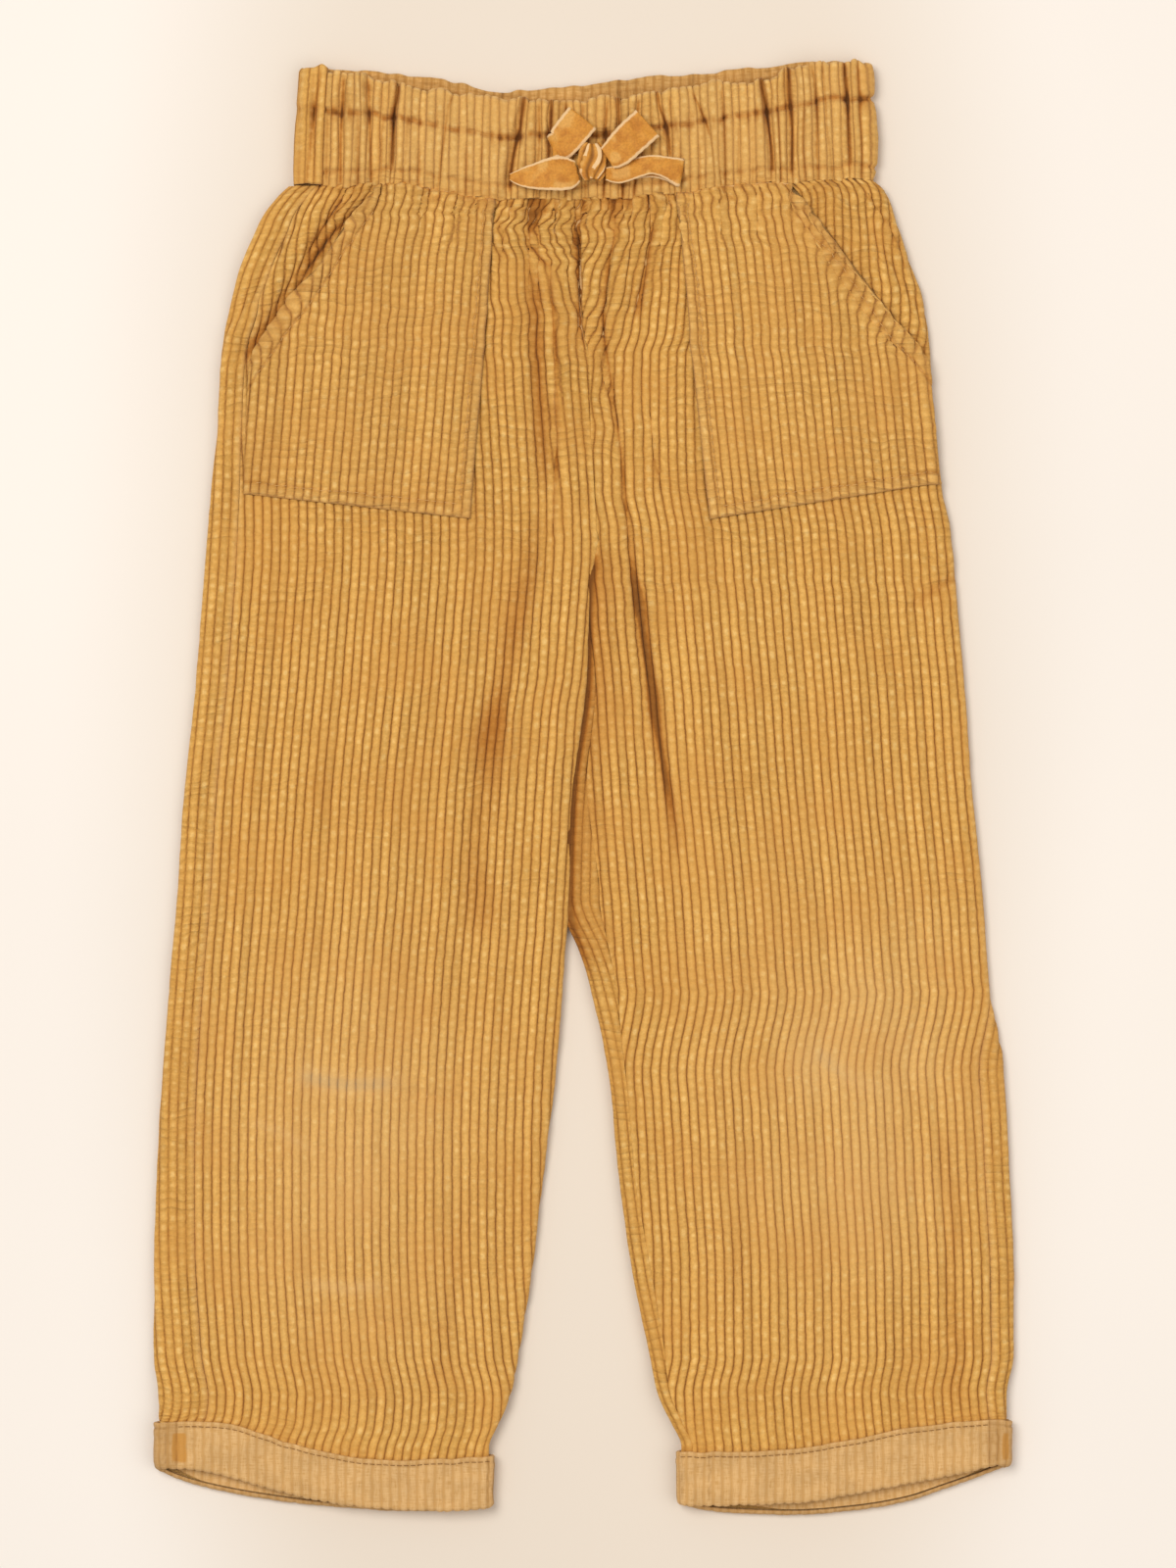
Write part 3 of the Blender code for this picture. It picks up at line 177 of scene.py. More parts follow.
# turn-ups: x, upper edge, front fold, back fold
leftCuff = [
    (-196.9, -290.5, -310.3, -310.3), (-191, -289.6, -311.2, -314.6),
    (-180, -289.1, -311.4, -318.8), (-163, -290.5, -314.8, -322.9), (-145, -295.9, -320, -326),
    (-126, -301.7, -324.7, -328.5), (-105, -305.8, -328.3, -330.2), (-84, -307.1, -330, -331.4),
    (-62, -306.4, -330.5, -331.4), (-46, -305.3, -329.4, -329.8), (-41.2, -305.3, -327.4, -327.4)]
rightCuff = [
    (42.5, -303.5, -326.5, -326.5), (49, -303.4, -328.2, -329.8), (68, -303.1, -327.9, -332.3),
    (97, -301.7, -326.9, -333.2), (122, -297.7, -322.9, -331.4), (146.5, -292.7, -318.4, -327.4),
    (165, -290.3, -314.8, -321.4), (180, -288.7, -311.6, -316.1), (190, -288.2, -309.8, -312.2),
    (196, -289.6, -309.8, -309.8)]
for leg, rows in ((leftLeg, leftCuff), (rightLeg, rightCuff)):
    leg["cuffTop"] = lineThrough([(row[0], row[1]) for row in rows])
    leg["frontFold"] = lineThrough([(row[0], row[2]) for row in rows])
    leg["backFold"] = lineThrough([(row[0], row[3]) for row in rows])
    leg["cuffEnds"] = (rows[0][0], rows[-1][0])
cuff = {"wall": 1.9, "topZ": 10.7, "start": -280.0, "tucked": 38.0, "lift": 2.6, "liftFrom": -258.0,
        "seamIn": 14.0, "foldLow": 3.2, "foldHigh": 7.0}

# main folds of the front: from x, y to x, y, half width, height (troughs are negative)
folds = [
    (-36.2, 261, -30.4, 173, 6.5, 1.4), (-23.5, 257, -17, 150, 8.5, -2.2),
    (-14.2, 240, -12.8, 168, 1.8, -1.2), (-1.6, 262, -3, 214, 1.8, -2.4),
    (-13.3, 245, -9, 128, 5, 1.6), (-4.3, 262, -0.7, 209, 3, -2.2), (4.7, 262, 3.8, 213, 4, 1.6),
    (16, 265, 8.8, 213, 3, -2.2), (8.8, 213, 15.5, 168, 3.4, -1.6),
    (22.3, 265, 15.6, 227, 4.5, 1.5), (15.6, 222, 22.3, 168, 5.5, 1.5),
    (22.3, 165, 27.8, 108, 6, 1.1), (32.6, 263, 25.4, 222, 3.4, -1.9),
    (17.4, 164, 25.3, 86, 4.5, -1.7), (26.3, 84, 32.6, 38, 5, -2), (32.6, 36, 42.5, -24, 6.5, -1.3),
    (-22.7, 112, -43, 22, 9, -1.6), (-43, 20, -49, -52, 11, -1.3), (-12, 104, -24, 36, 7, 1.3),
    (-24, 34, -28, -50, 8, 1.5), (-60, 268, -70, 214, 7, 0.7), (-84, 262, -101, 196, 9, 0.5),
    (-113.5, 266, -153, 201, 3, -2.8), (-122, 262, -158, 208, 3.2, 1.8),
    (-134, 254, -161, 214, 2.6, -1.2), (96, 268, 153, 202, 2.4, -1.9), (112, 267, 151, 213, 5, 1.3),
    (132, 256, 155, 215, 3, -1.1), (-126, -136, -62, -142, 3.2, -0.9),
    (-118, -128, -66, -133, 6, 0.6), (-128, -240, -70, -247, 3.5, -0.8),
    (-118, -166, -84, -172, 3.6, -0.5), (-134, -205, -104, -214, 5, -0.5),
    (112, -118, 96, -196, 16, 0.9), (-88, -150, -92, -230, 22, 0.9),
    (166, -170, 171, -272, 8, -1.2), (-55, -190, -66, -270, 8, -1), (128, -106, 156, -150, 6, -0.8),
    (118, -170, 150, -214, 7, -0.6), (168, 96, 150, 84, 3, -1), (-70, 96, -84, -20, 14, 0.6),
    (74, 80, 82, -70, 16, 0.6), (46, 60, 56, -80, 9, 0.7), (-108, 96, -122, -60, 12, -0.6),
    (112, 90, 124, -60, 13, -0.6), (62, -110, 74, -240, 9, -0.7), (140, 60, 150, -40, 10, 0.6),
    (-150, 60, -160, -70, 9, 0.5), (30, -100, 48, -230, 6, 0.7)
]

# gathers that hang from the waist seam: how strong and how long by x, then one wrinkle's size
gather = {
    "strong": [(-136, 0.5), (-100, 0.9), (-78, 0.5), (-48, 0.8), (-30, 1.3), (0, 1.4),
               (30, 1.4), (44, 0.8), (80, 0.5), (100, 0.8), (136, 0.5)],
    "long": [(-136, 12), (-100, 14), (-48, 13), (-26, 34), (0, 42), (26, 38), (44, 15), (136, 12)],
    "wave": 4.3, "depth": 1.5,
}
gatherStrong, gatherLong = lineThrough(gather["strong"]), lineThrough(gather["long"])


def seamPucker(x):
    # the waist seam is drawn in by its gathers
    return 0.55 * noiseC(x / 2.7, 1.5) + 0.6 * noiseC(x / 7.5, 3.5)


# narrow slits between folds, with painted shadow in them: half width, darkness of the painted shadow,
# depth, then the points of its path
slits = [
    (0.9, 1, 1.6, [(-3.6, 262), (-2.8, 240), (-1, 212)]),
    (1.3, 0.9, 1.8, [(17, 265), (10.8, 240), (8.4, 218), (11, 195), (15.4, 170)]),
    (1.2, 0.8, 1.4, [(32.6, 264), (30, 242), (26.6, 220)]),
    (1.3, 0.55, 1.1, [(15, 170), (18.2, 143), (20.8, 104)]),
    (3.3, 0.42, 1.6, [(20.6, 112), (26, 74), (31.7, 40), (42.5, -30)]),
    (1.2, 0.7, 1.2, [(-28, 257), (-15, 238), (-12.4, 200), (-11.6, 165),
                     (-13.2, 128), (-16, 96)]),
    (1, 0.45, 0.8, [(30.2, 172), (32.4, 150), (35.8, 132)]),
    (1, 0.4, 0.7, [(6.4, 200), (9.6, 182), (16.8, 168)]),
    (1.7, 0.95, 2.4, [(-99.5, 268.5), (-115, 254), (-125.6, 238.6), (-134.6, 222),
                      (-147.4, 205), (-154.4, 196.4)]),
    (1, 0.55, 1.2, [(-110, 267), (-120, 258), (-130.4, 243)]),
    (1.3, 0.85, 1.6, [(91, 270.5), (103, 254), (116, 235), (129, 217),
                      (141.5, 203.5), (157, 191)]),
    (0.9, 0.4, 0.8, [(-60, 271), (-58.5, 258), (-61, 246)]),
    (0.9, 0.45, 0.8, [(-40.5, 268), (-36, 256), (-38.5, 240)]),
    (0.8, 0.35, 0.7, [(-76, 272), (-74, 262), (-76.5, 252)]),
    (0.9, 0.4, 0.8, [(60, 272), (63, 260), (61, 246)]),
    (0.9, 0.35, 0.7, [(78, 273), (80, 262), (78, 250)]),
    (0.8, 0.4, 0.7, [(45, 268), (44, 257), (47, 246)]),
    (1, 0.5, 0.9, [(127, 274), (140, 256), (150, 232)]),
]
# creases across the knees where the pile is rubbed grey: half width, strength, path
greys = [
    (5, 0.75, [(-134, -131), (-108, -136), (-78, -134)]),
    (3, 0.6, [(-128, -227), (-108, -229), (-88, -227)]),
    (2.6, 0.35, [(-154, -152), (-138, -158), (-120, -168)]),
    (4, 0.3, [(104, -118), (120, -132), (142, -140)]),
]


def nearPath(x, y, path, halfWidth):
    # 1 on the path, falling to 0 a little beyond its half width, and tapered at its ends
    best = np.full(np.broadcast(x, y).shape, 1e9)
    total = sum(math.dist(a, b) for a, b in zip(path[:-1], path[1:]))
    run, where = 0.0, np.zeros(best.shape)
    for (x0, y0), (x1, y1) in zip(path[:-1], path[1:]):
        length = math.dist((x0, y0), (x1, y1))
        ax, ay = (x1 - x0) / length, (y1 - y0) / length
        t = np.clip((x - x0) * ax + (y - y0) * ay, 0.0, length)
        away = np.hypot(x - x0 - t * ax, y - y0 - t * ay)
        where = np.where(away < best, run + t, where)
        best = np.minimum(best, away)
        run += length
    taper = smooth(where / (0.18 * total) + 0.15) * smooth((total - where) / (0.3 * total) + 0.05)
    return bell(best, halfWidth) * taper


def foldShape(x, y):
    # height of the folds, gathers, slits and gentle waves of the front
    total = np.zeros(np.broadcast(x, y).shape)
    for x0, y0, x1, y1, halfWidth, height in folds:
        length = math.hypot(x1 - x0, y1 - y0)
        ax, ay = (x1 - x0) / length, (y1 - y0) / length
        run = (x - x0) * ax + (y - y0) * ay
        away = -(x - x0) * ay + (y - y0) * ax
        away = away + 0.22 * halfWidth * noiseE(run / 17.0 + x0, y0 / 9.0)
        past = np.maximum(np.maximum(-run, run - length), 0.0)
        reach = np.hypot(away, 0.5 * past) / halfWidth
        uneven = 1.0 + 0.25 * noiseD(run / 23.0 + x0, x0)
        total += height * uneven * smooth(1.0 - reach / 1.6)
    for halfWidth, _, depth, path in slits:
        total += 0.35 * depth * nearPath(x, y, path, 3.2 * halfWidth)
        total -= 1.35 * depth * nearPath(x, y, path, halfWidth)
    below = np.maximum(bandSeam(x) - y, 0.0)
    wrinkle = np.abs(noiseA(x / gather["wave"] + 0.012 * below, 0.4 + below / 45.0))
    fade = np.exp(-((below / gatherLong(x)) ** 1.3))
    total += gather["depth"] * gatherStrong(x) * (2.2 * wrinkle - 0.75) * fade
    total -= 0.7 * bell(below, 2.4) * (1.0 + 0.7 * noiseB(x / 2.3, 9.0))
    total += 0.8 * noiseD(x / 3.1, y / 5.0) * bell(below, 9.0)
    total += 0.4 * noiseB(x / 22.0, y / 75.0) + 0.28 * noiseC(x / 9.0, y / 40.0)
    return total


# painted shadow in the slits, and painted shade in the puckers below the waist seam
def shadowShape(x, y):
    total = np.zeros(np.broadcast(x, y).shape)
    for halfWidth, dark, _, path in slits:
        ragged = 1.0 + 0.3 * noiseA(x / 1.5, y / 4.0)
        total = np.maximum(total, dark * nearPath(x, y, path, 0.85 * halfWidth) * ragged)
    below = np.maximum(bandSeam(x) - y, 0.0)
    puckerShade = np.clip(-0.25 - noiseA(x / 2.2, 3.0 + below / 9.0), 0, 1) * bell(below, 8.0)
    return np.maximum(total, 1.3 * puckerShade)


def greyShape(x, y):
    total = np.zeros(np.broadcast(x, y).shape)
    for halfWidth, strength, path in greys:
        total += strength * nearPath(x, y, path, halfWidth)
    return total


# worked out once on a fine grid, then read from it
mapStepX, mapStepY = 0.4, 1.9
mapX, mapY = np.arange(-206.0, 206.0, mapStepX), np.arange(-345.0, 283.0, mapStepY)
gridX, gridY = mapX[None, :], mapY[:, None]
foldMap, shadowMap, greyMap = (shape(gridX, gridY) for shape in (foldShape, shadowShape, greyShape))


def readMap(table, x, y):
    x, y = np.broadcast_arrays(np.asarray(x, float), np.asarray(y, float))
    a = np.clip((x - mapX[0]) / mapStepX, 0, len(mapX) - 1.001)
    b = np.clip((y - mapY[0]) / mapStepY, 0, len(mapY) - 1.001)
    i, j = b.astype(int), a.astype(int)
    u, v = b - i, a - j
    return ((table[i, j] * (1 - v) + table[i, j + 1] * v) * (1 - u)
            + (table[i + 1, j] * (1 - v) + table[i + 1, j + 1] * v) * u)


def foldHeight(x, y):
    return readMap(foldMap, x, y)


def foldSlope(x, y):
    return (foldHeight(x + mapStepX, y) - foldHeight(x - mapStepX, y)) / (2 * mapStepX)


print("folds worked out")


# the leg's cross-section
def edgeShare(distance, radius):
    reach = np.clip(distance / radius, 0.0, 1.0)
    return np.sqrt(1.0 - (1.0 - reach) ** 2)


def pathOf(points, normals):
    steps = np.hypot(*np.diff(points, axis=0).T)
    return {"p": points, "n": normals, "arc": np.concatenate([[0.0], np.cumsum(steps)])}


def pathAt(path, arcs):
    point = np.stack([np.interp(arcs, path["arc"], path["p"][:, k]) for k in (0, 1)], 1)
    normal = np.stack([np.interp(arcs, path["arc"], path["n"][:, k]) for k in (0, 1)], 1)
    return point, normal / np.maximum(np.linalg.norm(normal, axis=1), 1e-9)[:, None]


def level(z):
    return lambda inward: np.full(len(inward), z)


def loopRuns(width, top, bottom, outerRoll, innerRoll, radius, count=300):
    share = (1 - np.cos(np.linspace(0, math.pi, count))) / 2
    inward = width * share
    high, low = top(inward), bottom(inward)
    middle = (high + low) / 2
    closing = ((1 - outerRoll + outerRoll * edgeShare(inward, radius))
               * (1 - innerRoll + innerRoll * edgeShare(width - inward, radius)))
    made = []
    for height, outward in ((high, 1.0), (low, -1.0)):
        points = np.stack([inward, middle + (height - middle) * closing], 1)
        tangent = np.gradient(points, axis=0)
        normals = outward * np.stack([-tangent[:, 1], tangent[:, 0]], 1)
        made.append(pathOf(points, normals / np.linalg.norm(normals, axis=1)[:, None]))
    return made


def legSection(leg, y):
    outer = float(leg["outer"](y)) + leg["direction"] * 0.9
    closed = float(smooth((cloth["crotch"] - y) / cloth["closing"]))
    # below the crotch the left leg's edge lies over the right leg's
    lap = closed * float(smooth((y + 74.0) / 24.0))
    reach = 0.7 if leg["direction"] > 0 else 3.4
    inner = float(leg["inner"](y)) + leg["direction"] * (reach * lap + 0.05)
    width = abs(inner - outer)
    top0, inner0 = float(leg["top"](y)), float(leg["innerTop"](y))
    lift = cuff["lift"] * float(smooth((cuff["liftFrom"] - y) / (cuff["liftFrom"] - cuff["start"])))
    calm = float(smooth((y - cuff["start"]) / 12.0))

    def top(inward):
        x = outer + leg["direction"] * inward
        height = top0 + (inner0 - top0) * smooth(1.0 - (width - inward) / 26.0)
        return np.maximum(height + (0.25 + 0.75 * calm) * foldHeight(x, y), 3.4)

    over, under = loopRuns(width, top, level(lift), 1.0, closed, cloth["edgeRoll"])
    flap = float(leg["flap"](y))
    innerFlap = float(leg["innerFlap"](y)) * closed
    innerFlap += 2.6 * lap if leg["direction"] < 0 and innerFlap > 0.5 else 0.0
    end = over["arc"][-1] - innerFlap
    lapAt = float(leg["inner"](y)) + 0.9
    return {"outer": outer, "over": over, "under": under, "closed": closed, "lapAt": lapAt,
            "seam": flap if flap > 0.3 else 0.0, "innerFlap": innerFlap, "end": end, "y": y}


def cuffFold(leg, x, z):
    share = smooth((z - cuff["foldLow"]) / (cuff["foldHigh"] - cuff["foldLow"]))
    return share * leg["frontFold"](x) + (1 - share) * leg["backFold"](x)


cuffSteps = 22
rowYs = np.arange(cloth["seamLevel"], cuff["start"] - 0.5, -cloth["rowStep"])
rowCount = len(rowYs) + cuffSteps
for leg in (leftLeg, rightLeg):
    leg["sections"] = [legSection(leg, y) for y in rowYs]
    leg["sections"] += [legSection(leg, cuff["start"] - cuff["tucked"] * k / cuffSteps)
                        for k in range(1, cuffSteps + 1)]
print("leg sections worked out")


def rowY(leg, row, x, z, seam):
    # level rows, bent to the waist seam above and to the turn-up's fold below
    if row < len(rowYs):
        y = rowYs[row]
        below = cloth["seamLevel"] - y
        drawn = seamPucker(x) * smooth(1.0 - below / 7.0) if seam is bandSeam else 0.0
        bent = seam(x) - 0.5 * cloth["gap"] - cloth["seamLevel"]
        return y + smooth(1.0 - below / 45.0) * bent + drawn
    share = (row - len(rowYs) + 1) / cuffSteps
    last = cuffFold(leg, x, z) + cuff["wall"] + 3 * cloth["gap"]
    return cuff["start"] + share * (last - cuff["start"])


def backSeam(x):
    low, high = waist["rows"][0], waist["rows"][-1]
    return low[4] + (x - low[0]) / (high[0] - low[0]) * (high[4] - low[4])


# cords
def cordProfile(t):
    # a full round cord with a narrow valley on each side
    return np.abs(np.sin(math.pi * np.clip(t, 0, 1))) ** 0.45


def cordHeight(cord, along):
    # cord counts cords across and along counts cord widths down the cloth
    t = cord - np.floor(cord)
    number = np.floor(cord)
    slub = 1.0 + 0.16 * noiseB(number * 1.37 + 0.5, along / 1.6) + 0.10 * noiseC(
        cord / 2.3, along / 0.9)
    return cordProfile(t) * slub


# each piece counts its cords from a number of its own, so that no two look alike
firstCord = {"front": {"left": 0, "right": 211}, "back": {"left": 300, "right": 600},
             "pocket": {"left": 430, "right": 520}, "band": {"front": 760, "back": 860}}


def cordPlaces(count):
    return (np.arange(count)[:, None] + np.array(cloth["columns"])[None, :]).ravel()


def sway(cord, along):
    # cords wander a little and crowd or part from their neighbours, in cord widths
    return 0.045 * noiseD(cord / 0.9, along / 0.8) + 0.05 * noiseE(cord / 5.0, along / 14.0)


# making a closed shell of cloth
def stitchLines(a, b):
    # triangles between two lines of points that differ in number
    made, i, j = [], 0, 0
    while i < len(a) - 1 or j < len(b) - 1:
        nextA = (i + 1) / (len(a) - 1) if i < len(a) - 1 else 2.0
        nextB = (j + 1) / (len(b) - 1) if j < len(b) - 1 else 2.0
        if nextA <= nextB:
            made.append((a[i], a[i + 1], b[j]))
            i += 1
        else:
            made.append((a[i], b[j + 1], b[j]))
            j += 1
    return made


def gridFaces(index):
    a, b = index[:-1, :-1].ravel(), index[:-1, 1:].ravel()
    c, d = index[1:, 1:].ravel(), index[1:, :-1].ravel()
    return np.stack([a, b, c, d], 1).tolist()


def finishMesh(name, points, faces, facts, materials, faceSlots=None, sharp=180.0):
    # points in mm; facts are numbers kept at each point for the materials
    points = np.asarray(points, float) + np.array([cloth["shiftX"], cloth["shiftY"], 0.0])
    mesh = bpy.data.meshes.new(name)
    mesh.from_pydata((points * mm).tolist(), [], faces)
    for key, values in facts.items():
        values = np.asarray(values, np.float32)
        if values.ndim == 2:
            layer = mesh.attributes.new(key, "FLOAT_VECTOR", "POINT")
            layer.data.foreach_set("vector", values.ravel())
        else:
            layer = mesh.attributes.new(key, "FLOAT", "POINT")
            layer.data.foreach_set("value", values.ravel())
    for material in materials:
        mesh.materials.append(material)
    if faceSlots is not None:
        mesh.polygons.foreach_set("material_index", np.asarray(faceSlots, np.int32))
    body = bmesh.new()
    body.from_mesh(mesh)
    bmesh.ops.remove_doubles(body, verts=body.verts, dist=2e-6)
    bmesh.ops.dissolve_degenerate(body, edges=body.edges, dist=1e-6)
    bmesh.ops.recalc_face_normals(body, faces=body.faces)
    body.to_mesh(mesh)
    body.free()
    mesh.shade_smooth()
    if sharp < 180.0:
        mesh.set_sharp_from_angle(angle=math.radians(sharp))
    piece = bpy.data.objects.new(name, mesh)
    bpy.context.scene.collection.objects.link(piece)
    return piece


def clothShell(name, outer, inner, facts, materials, outerSlots=None):
    rows, columns = outer.shape[:2]
    innerRows, innerColumns = inner.shape[:2]
    outIndex = np.arange(rows * columns).reshape(rows, columns)
    inIndex = rows * columns + np.arange(innerRows * innerColumns).reshape(innerRows, innerColumns)
    outFaces = gridFaces(outIndex)
    inFaces = [face[::-1] for face in gridFaces(inIndex)]
    sides = []
    for a, b in ((outIndex[0], inIndex[0]), (outIndex[-1][::-1], inIndex[-1][::-1]),
                 (outIndex[::-1, 0], inIndex[::-1, 0]), (outIndex[:, -1], inIndex[:, -1])):
        sides += stitchLines(a.tolist(), b.tolist())
    points = np.concatenate([outer.reshape(-1, 3), inner.reshape(-1, 3)])
    spread = {key: np.concatenate([values.ravel(), np.zeros(innerRows * innerColumns)])
              for key, values in facts.items() if key != "cloth"}
    inCloth = inner.reshape(-1, 3) * [1, -1, 0] / cloth["wale"]
    spread["cloth"] = np.concatenate([facts["cloth"].reshape(-1, 3), inCloth])
    slots = list(outerSlots) if outerSlots is not None else [0] * len(outFaces)
    slots += [len(materials) - 1] * len(inFaces) + [0] * len(sides)
    return finishMesh(name, points, outFaces + inFaces + sides, spread, materials, slots, 75.0)


def waffleAt(x, y):
    # the beads stand out most over the hips and between the pockets, least at the knees
    high = smooth((y - 20.0) / 190.0)
    return np.clip(0.15 + 0.55 * high + 0.25 * noiseB(x / 30.0, y / 40.0) - 0.3 * wearAt(x, y), 0, 1)


def wearAt(x, y):
    # rubbed and faded: wide soft patches over the knees
    left = np.exp(-(((x + 106) / 58) ** 2 + ((y + 165) / 84) ** 2))
    right = np.exp(-(((x - 122) / 56) ** 2 + ((y + 140) / 82) ** 2))
    patchy = 1.0 + 0.45 * noiseA(x / 26.0, y / 31.0)
    return np.clip((0.8 * left + 1.1 * right) * patchy, 0.0, 1.3)


# materials
def toLinear(code):
    made = []
    for k in (1, 3, 5):
        value = int(code[k:k + 2], 16) / 255
        made.append(value / 12.92 if value <= 0.04045 else ((value + 0.055) / 1.055) ** 2.4)
    return (*made, 1.0)


def addNode(tree, kind, settings=None, inputs=None, stops=None, out=0):
    # one node with its settings, links and colour stops; gives back the output asked for
    node = tree.nodes.new("ShaderNode" + kind)
    for key, value in (settings or {}).items():
        setattr(node, key, value)
    for key, value in (inputs or {}).items():
        if hasattr(value, "node"):
            tree.links.new(value, node.inputs[key])
        else:
            node.inputs[key].default_value = toLinear(value) if isinstance(value, str) else value
    if stops:
        elements = node.color_ramp.elements
        node.color_ramp.interpolation = "EASE"
        while len(elements) < len(stops):
            elements.new(0.5)
        for element, (position, colour) in zip(elements, stops):
            element.position = position
            element.color = toLinear(colour) if isinstance(colour, str) else (colour,) * 3 + (1.0,)
    return node.outputs[out]


def startMaterial(name, roughness, sheen, sheenTint="#FFFFFF", sheenRoughness=0.45):
    material = bpy.data.materials.new(name)
    material.use_nodes = True
    tree = material.node_tree
    for key, value in {"Roughness": roughness, "IOR": 1.45, "Specular IOR Level": 0.25,
                       "Sheen Weight": sheen, "Sheen Roughness": sheenRoughness,
                       "Sheen Tint": toLinear(sheenTint)}.items():
        tree.nodes["Principled BSDF"].inputs[key].default_value = value

    def add(*settings, **more):
        return addNode(tree, *settings, **more)
    return material, add


def endMaterial(material, colour, relief=None):
    # the finished colour and relief go into the shader
    tree = material.node_tree
    shader = tree.nodes["Principled BSDF"]
    tree.links.new(colour, shader.inputs["Base Color"])
    if relief is not None:
        tree.links.new(relief, shader.inputs["Normal"])
    return material


times, timesPlus, plus, less = ({"operation": word} for word in (
    "MULTIPLY", "MULTIPLY_ADD", "ADD", "SUBTRACT"))
timesHeld, plusHeld, lessHeld = ({**each, "use_clamp": True} for each in (times, plus, less))
pingPong = {"operation": "PINGPONG"}
blend = {"data_type": "RGBA"}
darken = {"data_type": "RGBA", "blend_type": "MULTIPLY"}
solid = {"noise_dimensions": "3D"}

# Cotton corduroy, pile woven in wide cords, cut and brushed, garment-dyed and washed: soft
# matt ridges with a fine nap, brown valleys where the bare ground shows, and pale rubbed places.
# Over this, painted shade darkens the valleys, the cords' flanks, the pinches between beads,
# troughs and slits, and painted highlights brighten the crests and the beads.
corduroyLook = {
    "valley": "#A06B33", "flank": "#C28E42", "body": "#D6A253", "crest": "#DEAE60",
    "beadHighlight": "#E9C27B", "worn": "#DAB379", "rubbed": "#E0BC86", "deep": "#C98F43",
    "shade": "#D6B995", "slit": "#6E4117", "grey": "#8C8470",
    "beadsPerCord": 0.86, "napMm": 0.55, "pressed": False,
}


